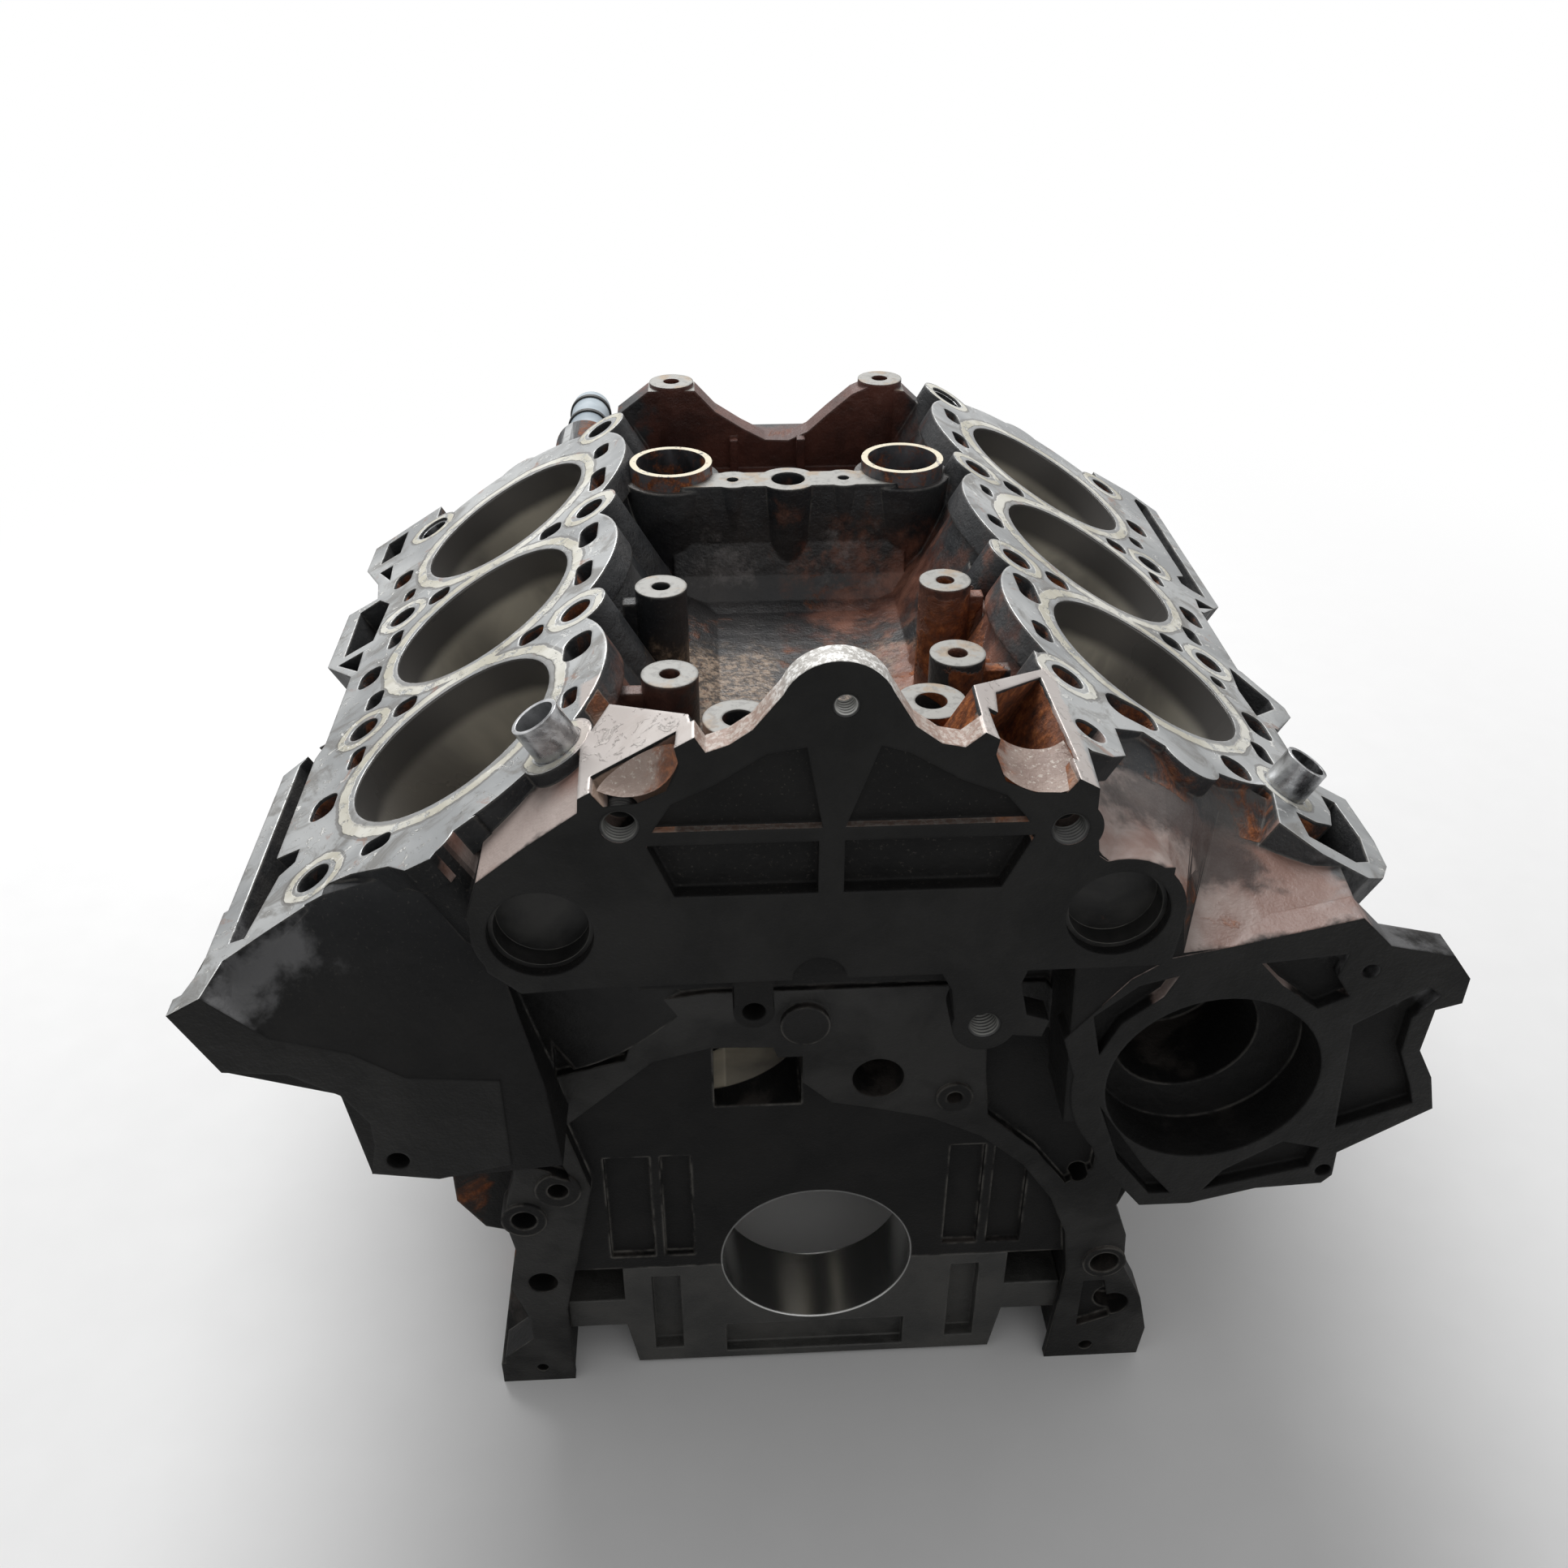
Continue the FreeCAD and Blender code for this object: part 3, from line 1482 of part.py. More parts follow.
pipe_tube = rod("pipe_tube", "y", 10, (PIPE_SPOT[0], pipe_rear, PIPE_SPOT[1]), 66)
pipe_hollow = rod("pipe_hollow", "y", 8, (PIPE_SPOT[0], pipe_rear - PAST, PIPE_SPOT[1]), 70)
pipe_tools = [pipe_hollow]
seals = []
for n, step in enumerate((34, 56)):
    for tag, inner, outer, play, group in (
        ("groove", 8.8, 12, 0, pipe_tools),
        ("seal", 8.9, 10.9, 0.1, seals),
    ):
        spot = (PIPE_SPOT[0], pipe_rear + step + play, PIPE_SPOT[1])
        ring = rod(f"pipe_{tag}_{n}_ring", "y", outer, spot, 3 - 2 * play)
        core = rod(f"pipe_{tag}_{n}_core", "y", inner, (spot[0], spot[1] - PAST, spot[2]), 3 + 2 * PAST)
        group.append(cut(f"pipe_{tag}_{n}", ring, core))
NODES["side_pipe"] = cut("side_pipe", pipe_tube, fuse("pipe_tools", pipe_tools))
NODES["side_pipe_seals"] = together("side_pipe_seals", seals)

document.recompute()

failed = [o.Name for o in document.Objects if {"Invalid", "Error"} & set(o.State)]
if failed:
    raise RuntimeError(f"failed objects: {failed}")
for name, item in NODES.items():
    shape = item.Shape
    if shape.isNull() or not shape.isValid():
        raise RuntimeError(f"bad shape: {name}")

os.makedirs("parts", exist_ok=True)
for name, item in NODES.items():
    item.Label = name
    item.Shape.exportStep(f"parts/{name}.step")
    print(name, len(item.Shape.Solids), round(item.Shape.Volume / 1000.0), "cm3")
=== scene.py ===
import math

import bpy
from mathutils import Matrix, Vector


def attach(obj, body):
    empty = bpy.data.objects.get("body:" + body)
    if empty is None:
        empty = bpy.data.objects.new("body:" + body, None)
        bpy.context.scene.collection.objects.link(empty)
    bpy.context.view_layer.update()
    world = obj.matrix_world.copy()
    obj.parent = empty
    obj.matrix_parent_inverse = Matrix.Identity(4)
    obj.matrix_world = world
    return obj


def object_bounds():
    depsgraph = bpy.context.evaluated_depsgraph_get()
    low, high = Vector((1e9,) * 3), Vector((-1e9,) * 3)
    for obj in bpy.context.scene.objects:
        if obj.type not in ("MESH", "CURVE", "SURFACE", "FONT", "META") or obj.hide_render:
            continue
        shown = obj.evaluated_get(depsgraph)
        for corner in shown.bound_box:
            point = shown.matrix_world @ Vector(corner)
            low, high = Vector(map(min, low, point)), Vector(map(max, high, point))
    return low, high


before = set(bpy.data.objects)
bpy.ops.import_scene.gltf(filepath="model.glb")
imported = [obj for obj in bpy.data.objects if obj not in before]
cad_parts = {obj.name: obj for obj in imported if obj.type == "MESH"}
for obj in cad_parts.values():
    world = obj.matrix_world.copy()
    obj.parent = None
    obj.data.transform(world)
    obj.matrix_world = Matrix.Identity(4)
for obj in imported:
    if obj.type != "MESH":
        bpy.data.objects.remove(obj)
cad_low, cad_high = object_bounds()

MM = 0.001
BANK_ANGLE = math.radians(30.0)
DECK_HEIGHT = 259.1 * MM
BORE_RADIUS = 42.0 * MM
BORE_PITCH = 96.0 * MM
FIRST_BORE_LEFT = 50.8 * MM
FIRST_BORE_RIGHT = 87.5 * MM
HEAD_BOLT_OFFSET = 49.5 * MM
MAIN_RADIUS = 38.9 * MM
TIMING_FACE = -36.0 * MM
RAIL_FACE = -6.0 * MM
FLOOR = cad_low[2]
UP = (0.0, 0.0, 1.0)
FORWARD = (0.0, -1.0, 0.0)


# ------------------------------------------------------------ node shorthand


def feed(tree, socket, value):
    """Link a socket to another node's output, or set its number."""
    if isinstance(value, bpy.types.NodeSocket):
        tree.links.new(value, socket)
    else:
        socket.default_value = value


def put(tree, kind, wires=None, **settings):
    """Add a node, set its options, and feed its sockets."""
    node = tree.nodes.new(kind)
    for name, value in settings.items():
        setattr(node, name, value)
    for name, value in (wires or {}).items():
        feed(tree, node.inputs[name], value)
    return node


def calc(tree, operation, *values):
    wires = dict(enumerate(values))
    return put(tree, "ShaderNodeMath", wires, operation=operation).outputs[0]


def vector_calc(tree, operation, *values):
    wires = dict(enumerate(values))
    return put(tree, "ShaderNodeVectorMath", wires, operation=operation).outputs


def coordinates(tree, place):
    return put(tree, "ShaderNodeSeparateXYZ", {0: place}).outputs


def both(tree, *masks):
    """Product of masks: one only where all of them are."""
    total = masks[0]
    for mask in masks[1:]:
        total = calc(tree, "MULTIPLY", total, mask)
    return total


def either(tree, *masks):
    total = masks[0]
    for mask in masks[1:]:
        total = calc(tree, "MAXIMUM", total, mask)
    return total


def share(tree, mask, amount):
    return calc(tree, "MULTIPLY", mask, amount)


def inverse(tree, mask):
    return calc(tree, "SUBTRACT", 1.0, mask)


def without(tree, mask, *others):
    for other in others:
        mask = both(tree, mask, inverse(tree, other))
    return mask


def ramp(tree, value, low, high, out_low=0.0, out_high=1.0):
    """Smoothly carry a value from one span to another, held at both ends."""
    wires = {
        "Value": value,
        "From Min": low,
        "From Max": high,
        "To Min": out_low,
        "To Max": out_high,
    }
    node = put(tree, "ShaderNodeMapRange", wires, interpolation_type="SMOOTHSTEP")
    return node.outputs["Result"]


def band(tree, value, low, high, soft):
    """One inside a span, falling to nothing over the soft distance on each side."""
    rise = ramp(tree, value, low - soft, low)
    fall = ramp(tree, value, high, high + soft, 1.0, 0.0)
    return both(tree, rise, fall)


def blend(tree, amount, first, second):
    """Mix two colours."""
    node = put(tree, "ShaderNodeMix", {"Factor": amount}, data_type="RGBA")
    for index, colour in ((6, first), (7, second)):
        is_plain = not isinstance(colour, bpy.types.NodeSocket)
        feed(tree, node.inputs[index], (*colour, 1.0) if is_plain else colour)
    return node.outputs[2]


def lerp(tree, amount, first, second):
    """Mix two numbers."""
    node = put(tree, "ShaderNodeMix", {"Factor": amount}, data_type="FLOAT")
    feed(tree, node.inputs[2], first)
    feed(tree, node.inputs[3], second)
    return node.outputs[0]


def noise(tree, place, scale, detail=3.0, rough=0.55, warp=0.0):
    wires = {
        "Vector": place,
        "Scale": scale,
        "Detail": detail,
        "Roughness": rough,
        "Distortion": warp,
    }
    return put(tree, "ShaderNodeTexNoise", wires).outputs["Fac"]


def make_group(name, inputs, outputs):
    tree = bpy.data.node_groups.new(name, "ShaderNodeTree")
    for title, kind, value in inputs:
        socket = tree.interface.new_socket(title, in_out="INPUT", socket_type=kind)
        if value is not None:
            socket.default_value = value
    for title, kind in outputs:
        tree.interface.new_socket(title, in_out="OUTPUT", socket_type=kind)
    entry = tree.nodes.new("NodeGroupInput")
    leave = tree.nodes.new("NodeGroupOutput")
    return tree, entry.outputs, leave.inputs


def use(tree, group, wires):
    return put(tree, "ShaderNodeGroup", wires, node_tree=group).outputs


FLOAT = "NodeSocketFloat"
VECTOR = "NodeSocketVector"
COLOUR = "NodeSocketColor"


# ------------------------------------------------------------ shared effects


RUST_DARK = (0.050, 0.018, 0.009)
RUST_BROWN = (0.20, 0.058, 0.017)
RUST_ORANGE = (0.46, 0.155, 0.045)


def head_face_group():
    """Where a point lies on its bank: off the nearest bore and bolt, and above the head face."""
    tree, given, out = make_group(
        "head_face_fields",
        [("Place", VECTOR, None)],
        [
            ("Bore Distance", FLOAT),
            ("Bolt Distance", FLOAT),
            ("Height", FLOAT),
            ("Bank Place", VECTOR),
            ("Side", FLOAT),
        ],
    )
    split = coordinates(tree, given["Place"])
    side = calc(tree, "GREATER_THAN", split["X"], 0.0)
    across_floor = calc(tree, "ABSOLUTE", split["X"])
    cosine, sine = math.cos(BANK_ANGLE), math.sin(BANK_ANGLE)
    across = calc(
        tree,
        "SUBTRACT",
        share(tree, across_floor, cosine),
        share(tree, split["Z"], sine),
    )
    up_bank = calc(
        tree,
        "ADD",
        share(tree, across_floor, sine),
        share(tree, split["Z"], cosine),
    )
    first = lerp(tree, side, FIRST_BORE_LEFT, FIRST_BORE_RIGHT)
    along = calc(tree, "SUBTRACT", split["Y"], first)

    def from_nearest(start, last, sideways):
        """Distance from the nearest of a row of axes one pitch apart."""
        shifted = calc(tree, "SUBTRACT", along, start)
        index = calc(tree, "ROUND", calc(tree, "DIVIDE", shifted, BORE_PITCH))
        held = calc(tree, "MINIMUM", calc(tree, "MAXIMUM", index, 0.0), last)
        left_over = calc(tree, "SUBTRACT", shifted, share(tree, held, BORE_PITCH))
        squares = calc(
            tree,
            "ADD",
            both(tree, left_over, left_over),
            both(tree, sideways, sideways),
        )
        return calc(tree, "SQRT", squares)

    bolt_side = calc(tree, "SUBTRACT", calc(tree, "ABSOLUTE", across), HEAD_BOLT_OFFSET)
    tree.links.new(from_nearest(0.0, 2.0, across), out["Bore Distance"])
    tree.links.new(from_nearest(-BORE_PITCH / 2, 3.0, bolt_side), out["Bolt Distance"])
    height = calc(tree, "SUBTRACT", up_bank, DECK_HEIGHT)
    bank_place = put(
        tree, "ShaderNodeCombineXYZ", {"X": across, "Y": split["Y"], "Z": height}
    ).outputs[0]
    tree.links.new(height, out["Height"])
    tree.links.new(bank_place, out["Bank Place"])
    tree.links.new(side, out["Side"])
    return tree


BOX_RAGGEDNESS = 3.0


def soft_box_group():
    """One inside a box with ragged, soft sides."""
    tree, given, out = make_group(
        "soft_box",
        [
            ("Place", VECTOR, None),
            ("Middle", VECTOR, (0.0, 0.0, 0.0)),
            ("Half Size", VECTOR, (0.01, 0.01, 0.01)),
            ("Softness", FLOAT, 0.004),
        ],
        [("Mask", FLOAT)],
    )
    from_middle = vector_calc(tree, "SUBTRACT", given["Place"], given["Middle"])[0]
    whole = vector_calc(tree, "ABSOLUTE", from_middle)[0]
    past = vector_calc(tree, "SUBTRACT", whole, given["Half Size"])[0]
    parts = coordinates(tree, past)
    worst = either(tree, parts["X"], parts["Y"], parts["Z"])
    ragged = noise(tree, given["Place"], 95.0, 4.0, 0.6)
    shift = both(tree, calc(tree, "SUBTRACT", ragged, 0.5), given["Softness"])
    worst = calc(tree, "ADD", worst, share(tree, shift, BOX_RAGGEDNESS))
    half = share(tree, given["Softness"], 0.5)
    mask = ramp(tree, worst, share(tree, half, -1.0), half, 1.0, 0.0)
    tree.links.new(mask, out["Mask"])
    return tree


def casting_group():
    """Sand cast surface: fine grain, small lumps and slow patches."""
    tree, given, out = make_group(
        "sand_casting",
        [("Place", VECTOR, None), ("Grain Size", FLOAT, 0.0012)],
        [("Relief", FLOAT), ("Patches", FLOAT), ("Specks", FLOAT)],
    )
    scale = calc(tree, "DIVIDE", 1.0, given["Grain Size"])
    grain = noise(tree, given["Place"], scale, 4.0, 0.6)
    lumps = noise(tree, given["Place"], share(tree, scale, 0.16), 2.0, 0.5)
    relief = calc(tree, "ADD", share(tree, grain, 0.4), share(tree, lumps, 0.9))
    tree.links.new(relief, out["Relief"])
    patches = noise(tree, given["Place"], share(tree, scale, 0.03), 5.0, 0.62, 0.4)
    tree.links.new(ramp(tree, patches, 0.32, 0.68), out["Patches"])
    specks = noise(tree, given["Place"], share(tree, scale, 0.9), 3.0, 0.7)
    tree.links.new(ramp(tree, specks, 0.6, 0.72), out["Specks"])
    return tree


def rust_group():
    """Orange to red-brown rust, thickest where the given amount is high."""
    tree, given, out = make_group(
        "rust_bloom",
        [("Place", VECTOR, None), ("Amount", FLOAT, 0.5), ("Patch Size", FLOAT, 0.02)],
        [("Mask", FLOAT), ("Colour", COLOUR), ("Crust", FLOAT)],
    )
    scale = calc(tree, "DIVIDE", 1.0, given["Patch Size"])
    patch = noise(tree, given["Place"], scale, 6.0, 0.68, 0.6)
    level = calc(tree, "ADD", patch, calc(tree, "SUBTRACT", given["Amount"], 0.5))
    tree.links.new(ramp(tree, level, 0.46, 0.66), out["Mask"])
    tone = noise(tree, given["Place"], share(tree, scale, 7.0), 5.0, 0.65)
    colour = put(tree, "ShaderNodeValToRGB", {"Fac": tone})
    stops = colour.color_ramp.elements
    stops[0].position = 0.3
    stops[0].color = (*RUST_DARK, 1.0)
    stops[1].position = 0.7
    stops[1].color = (*RUST_ORANGE, 1.0)
    middle = stops.new(0.5)
    middle.color = (*RUST_BROWN, 1.0)
    tree.links.new(colour.outputs["Color"], out["Colour"])
    tree.links.new(tone, out["Crust"])
    return tree


def edge_group():
    """Where an outer edge is worn bright, from how far a rounded normal turns from the flat one."""
    tree, given, out = make_group(
        "worn_edges",
        [("Place", VECTOR, None), ("Rounding", FLOAT, 0.0015)],
        [("Normal", VECTOR), ("Wear", FLOAT)],
    )
    rounded = put(tree, "ShaderNodeBevel", {"Radius": given["Rounding"]}, samples=6).outputs[0]
    flat = put(tree, "ShaderNodeNewGeometry").outputs["True Normal"]
    alike = vector_calc(tree, "DOT_PRODUCT", rounded, flat)["Value"]
    turned = ramp(tree, alike, 0.93, 0.995, 1.0, 0.0)
    patch = noise(tree, given["Place"], 90.0, 4.0, 0.6)
    tree.links.new(both(tree, turned, ramp(tree, patch, 0.38, 0.6)), out["Wear"])
    tree.links.new(rounded, out["Normal"])
    return tree


HEAD_FACE = head_face_group()
SOFT_BOX = soft_box_group()
CASTING = casting_group()
RUST = rust_group()
EDGES = edge_group()


def start_material(name, **shader_numbers):
    material = bpy.data.materials.new(name)
    material.use_nodes = True
    tree = material.node_tree
    shader = tree.nodes["Principled BSDF"]
    for socket, value in shader_numbers.items():
        shader.inputs[socket.replace("_", " ")].default_value = value
    place = put(tree, "ShaderNodeTexCoord").outputs["Object"]
    return material, tree, shader, place


def finish_shader(tree, shader, colour, rough, metal, relief, depth, normal):
    bump_wires = {"Height": relief, "Strength": 1.0, "Distance": depth}
    if normal is not None:
        bump_wires["Normal"] = normal
    bump = put(tree, "ShaderNodeBump", bump_wires)
    for socket, value in (
        ("Base Color", colour),
        ("Roughness", rough),
        ("Metallic", metal),
        ("Normal", bump.outputs["Normal"]),
    ):
        feed(tree, shader.inputs[socket], value)


def facing(tree, direction, low=0.97, high=0.995):
    """One where the surface faces a direction."""
    normal = put(tree, "ShaderNodeNewGeometry").outputs["True Normal"]
    return ramp(tree, vector_calc(tree, "DOT_PRODUCT", normal, direction)["Value"], low, high)


def zone(tree, place, low, high, softness):
    """Mask of a box given by its corners in millimetres."""
    middle = tuple((a + b) / 2 * MM for a, b in zip(low, high, strict=True))
    half = tuple((b - a) / 2 * MM for a, b in zip(low, high, strict=True))
    wires = {"Place": place, "Middle": middle, "Half Size": half, "Softness": softness * MM}
    return use(tree, SOFT_BOX, wires)["Mask"]


def beyond_axis(tree, place, across, up):
    """Distance from an axis that runs front to back, mirrored left and right."""
    split = coordinates(tree, place)
    flat = put(
        tree, "ShaderNodeCombineXYZ", {"X": calc(tree, "ABSOLUTE", split["X"]), "Z": split["Z"]}
    ).outputs[0]
    return vector_calc(tree, "DISTANCE", flat, (across * MM, 0.0, up * MM))["Value"]


def near_axis(tree, place, axis, inner, outer):
    """One inside a round area about such an axis, given in millimetres."""
    return ramp(tree, beyond_axis(tree, place, *axis), inner * MM, outer * MM, 1.0, 0.0)


def journal_bore(tree, split):
    """One on the wall of the main bearing bore."""
    across, up = split["X"], split["Z"]
    squares = calc(tree, "ADD", both(tree, across, across), both(tree, up, up))
    radius = calc(tree, "SQRT", squares)
    return ramp(tree, radius, MAIN_RADIUS + 0.0003, MAIN_RADIUS + 0.0007, 1.0, 0.0)


# ------------------------------------------------------------ tones and places of the casting

# Pairs are the dark and the light end of a patchy tone.
# Near black: painted shade for the front, which the back light leaves dark, and the oiled iron low
# down.
OIL_BLACK_AND_SHADE = ((0.0055, 0.0055, 0.0055), (0.0105, 0.0102, 0.0098))
BARE_GREY = ((0.013, 0.014, 0.016), (0.036, 0.038, 0.040))
DUST = (0.11, 0.095, 0.085)
CAST_SPECKS = (0.24, 0.22, 0.19)
CAST_EDGES = (0.26, 0.245, 0.22)
VALLEY_MURK = ((0.010, 0.010, 0.011), (0.034, 0.030, 0.028))
TAN_SILT = ((0.045, 0.032, 0.024), (0.28, 0.205, 0.145))
OIL_VARNISH = ((0.060, 0.020, 0.013), (0.27, 0.12, 0.08))
PALE_SMEAR = (0.20, 0.185, 0.18)
REAR_WALL_BROWN = ((0.040, 0.015, 0.011), (0.12, 0.042, 0.028))
SHOULDER_PINK = ((0.20, 0.11, 0.085), (0.40, 0.325, 0.295))
RIM_SLOPE = ((0.34, 0.235, 0.19), (0.60, 0.55, 0.50))
# Whitish crest: painted highlight where the light from above falls on the rim's top.
RIM_CREST_HIGHLIGHT = ((0.42, 0.40, 0.37), (0.92, 0.91, 0.88))
# Painted highlight: pale grey streak of light along the flanks.
PAINTED_SHEEN_GREY = (0.22, 0.22, 0.225)
MILLED_GREY = ((0.30, 0.31, 0.315), (0.47, 0.48, 0.48))
FACE_STAIN = (0.16, 0.15, 0.135)
BEAD_SHADOW = (0.13, 0.12, 0.11)
GASKET_CREAM = ((0.50, 0.475, 0.39), (0.68, 0.665, 0.60))
SCALE_CRUMBS = (0.78, 0.775, 0.74)
FACE_RUST = (0.30, 0.13, 0.07)
FACE_EDGES = (0.72, 0.72, 0.70)
BORE_SCORCH = (0.12, 0.11, 0.10)
EAR_TOP = ((0.40, 0.33, 0.30), (0.62, 0.58, 0.55))
EAR_CRUST = ((0.30, 0.215, 0.175), (0.46, 0.35, 0.28))
PAD_TONES = ((0.31, 0.305, 0.285), (0.30, 0.19, 0.09))
PAD_MARKS = (0.14, 0.135, 0.125)
# Painted shade: near black for the milled faces at the front.
FRONT_SHADE_BLACK = ((0.0095, 0.0095, 0.0092), (0.0180, 0.0177, 0.0170))
WORN_RAIL = (0.045, 0.044, 0.042)
CYLINDER_WALL = ((0.33, 0.31, 0.28), (0.55, 0.52, 0.45))
RING_TRAVEL = (0.12, 0.115, 0.11)
BRIGHT_BORE = (0.50, 0.50, 0.49)

# Boxes in millimetres: low corner, high corner and the softness of their sides.
BETWEEN_BANKS = ((-74, -20, 185), (74, 352, 262), 8)
MURKY_FLOOR = ((-58, 60, 185), (58, 300, 236), 16)
SILT_BED = ((-50, 0, 185), (50, 152, 222), 18)
DRAIN_TRENCH = ((-10, 96, 185), (8, 160, 222), 7)
WARM_RIGHT_FLOOR = ((8, 168, 185), (64, 266, 230), 24)
WARM_RIGHT_BOSSES = ((36, 60, 190), (78, 150, 252), 14)
WARM_LEFT_BOSS = ((-78, 20, 190), (-40, 70, 252), 14)
WARM_BRIDGE_FOOT = ((-62, 268, 200), (64, 282, 226), 14)
LEFT_SMEAR = ((-44, 205, 205), (-16, 236, 226), 12)
RIGHT_SMEAR = ((14, 205, 205), (42, 236, 228), 12)
REAR_WALL = ((-66, 288, 190), (66, 349, 273), 10)
LEFT_SHOULDER = ((-122, -36.5, 198), (-66, -6, 262), 5)
RIGHT_SHOULDER = ((72, -36.5, 168), (176, 8, 262), 6)
SHOULDER_SHADE = ((80, -12, 168), (150, 10, 232), 10)
FRONT_WALL_RIM = ((-62, -36.6, 232), (64, -25.2, 302), 1.2)
BOSS_STREAKS = ((44, 40, 205), (68, 134, 249), 6)
DOWEL_PATCH = ((110, -36, 190), (150, -6, 240), 12)
VALLEY_PADS = ((-76, 4, 240), (76, 352, 266), 0.5)
# The same, in the frame of a cylinder bank.
# Painted highlight along the flanks, below the head face near the front.
FLANK_HIGHLIGHT = ((52, -38, -17), (104, 2, -1.0), 12)
EAR_INSIDE = ((-99, -37, -26), (-58, 30, -1.2), 0.8)
EAR_FACE = ((-104, -37, -2), (-57, 36, 2), 2)
HEAD_OPENINGS = ((-56, 8, -40), (66, 340, -1.0), 0.6)

# Axes that run front to back: across and up, in millimetres.
LIFT_HOLE = (69.2, 241.0)
TOP_HOLE = (2.2, 284.2)
FRONT_PLUG = (92.5, 203.4)


# ------------------------------------------------------------ the casting


def bare_casting(tree, place, cast, edge, upward):
    """Painted shade near black at the front, which the back light leaves dark; near black with oil
    low down; dusty bluish grey on top.
    """
    split = coordinates(tree, place)
    oil_black_and_shade = blend(tree, cast["Patches"], *OIL_BLACK_AND_SHADE)
    inner = blend(tree, cast["Patches"], *BARE_GREY)
    high = ramp(tree, split["Z"], 0.14, 0.23)
    back = ramp(tree, split["Y"], -0.034, 0.0)
    # Near black in front and low down: painted shade at the front, oiled iron low down.
    colour = blend(tree, both(tree, high, back), oil_black_and_shade, inner)
    dusty = both(tree, upward, ramp(tree, cast["Patches"], 0.45, 0.95), back)
    colour = blend(tree, share(tree, dusty, 0.35), colour, DUST)
    specks = share(tree, both(tree, cast["Specks"], high), 0.2)
    colour = blend(tree, specks, colour, CAST_SPECKS)
    return blend(tree, share(tree, both(tree, edge["Wear"], back), 0.4), colour, CAST_EDGES)


def valley_stains(tree, place, colour, cast):
    """Rust, tan silt and brown varnish between the banks."""
    between = zone(tree, place, *BETWEEN_BANKS)
    murk = zone(tree, place, *MURKY_FLOOR)
    deep = blend(tree, cast["Patches"], *VALLEY_MURK)
    colour = blend(tree, share(tree, murk, 0.85), colour, deep)
    bed = zone(tree, place, *SILT_BED)
    trench = zone(tree, place, *DRAIN_TRENCH)
    grit = noise(tree, place, 330.0, 5.0, 0.7)
    tan = blend(tree, ramp(tree, grit, 0.42, 0.60), *TAN_SILT)
    colour = blend(tree, share(tree, without(tree, bed, trench), 0.92), colour, tan)
    warm = either(
        tree,
        zone(tree, place, *WARM_RIGHT_FLOOR),
        zone(tree, place, *WARM_RIGHT_BOSSES),
        share(tree, zone(tree, place, *WARM_LEFT_BOSS), 0.8),
        share(tree, zone(tree, place, *WARM_BRIDGE_FOOT), 0.35),
    )
    swirl = ramp(tree, noise(tree, place, 42.0, 5.0, 0.6), 0.35, 0.65)
    varnish = blend(tree, swirl, *OIL_VARNISH)
    broken = ramp(tree, noise(tree, place, 26.0, 5.0, 0.7), 0.38, 0.52)
    warm = both(tree, warm, between, broken)
    colour = blend(tree, share(tree, warm, 0.85), colour, varnish)
    smears = either(tree, zone(tree, place, *LEFT_SMEAR), zone(tree, place, *RIGHT_SMEAR))
    smears = both(tree, smears, ramp(tree, noise(tree, place, 75.0, 5.0, 0.7), 0.48, 0.62))
    colour = blend(tree, share(tree, smears, 0.5), colour, PALE_SMEAR)
    rear = zone(tree, place, *REAR_WALL)
    brown = blend(tree, cast["Patches"], *REAR_WALL_BROWN)
    return blend(tree, share(tree, rear, 0.92), colour, brown), between


def shoulder_tints(tree, place, bank_place, colour, upward, slow):
    """Pale pinkish tops of the chest shoulders, the front wall rim and the lifting ears; the rim's
    whitish crest is painted highlight, and a painted highlight streak runs along the flanks.
    """
    pink = blend(tree, ramp(tree, slow, 0.36, 0.6), *SHOULDER_PINK)
    left = zone(tree, place, *LEFT_SHOULDER)
    right = zone(tree, place, *RIGHT_SHOULDER)
    sloping = ramp(tree, upward, 0.02, 0.22)
    plugs = near_axis(tree, place, FRONT_PLUG, 19.5, 20.5)
    tops = without(tree, both(tree, either(tree, left, right), sloping), plugs)
    dark = zone(tree, place, *SHOULDER_SHADE)
    tops = without(tree, tops, share(tree, dark, 0.75))
    colour = blend(tree, share(tree, tops, 0.92), colour, pink)
    rim = zone(tree, place, *FRONT_WALL_RIM)
    lift_holes = near_axis(tree, place, LIFT_HOLE, 9.0, 9.6)
    holes = either(tree, lift_holes, near_axis(tree, place, TOP_HOLE, 4.6, 5.0))
    rim = without(tree, both(tree, rim, ramp(tree, upward, 0.05, 0.3)), holes)
    low_rim = ramp(tree, coordinates(tree, place)["Z"], 0.240, 0.244)
    rim = both(tree, rim, low_rim)
    glitter = ramp(tree, noise(tree, place, 520.0, 4.0, 0.7), 0.44, 0.6)
    # Pink crusted slope, with a whitish crest that is painted highlight from the light above.
    crest = ramp(tree, coordinates(tree, place)["Z"], 0.280, 0.293)
    slope = blend(tree, share(tree, glitter, 0.7), *RIM_SLOPE)
    top = blend(tree, glitter, *RIM_CREST_HIGHLIGHT)
    colour = blend(tree, rim, colour, blend(tree, crest, slope, top))
    # Painted highlight: a pale streak where the light from above glances along the flanks.
    flank_highlight = zone(tree, bank_place, *FLANK_HIGHLIGHT)
    flank_highlight = both(tree, flank_highlight, ramp(tree, slow, 0.30, 0.50, 0.5, 1.0))
    colour = blend(tree, share(tree, flank_highlight, 0.5), colour, PAINTED_SHEEN_GREY)
    return colour, either(tree, tops, rim)


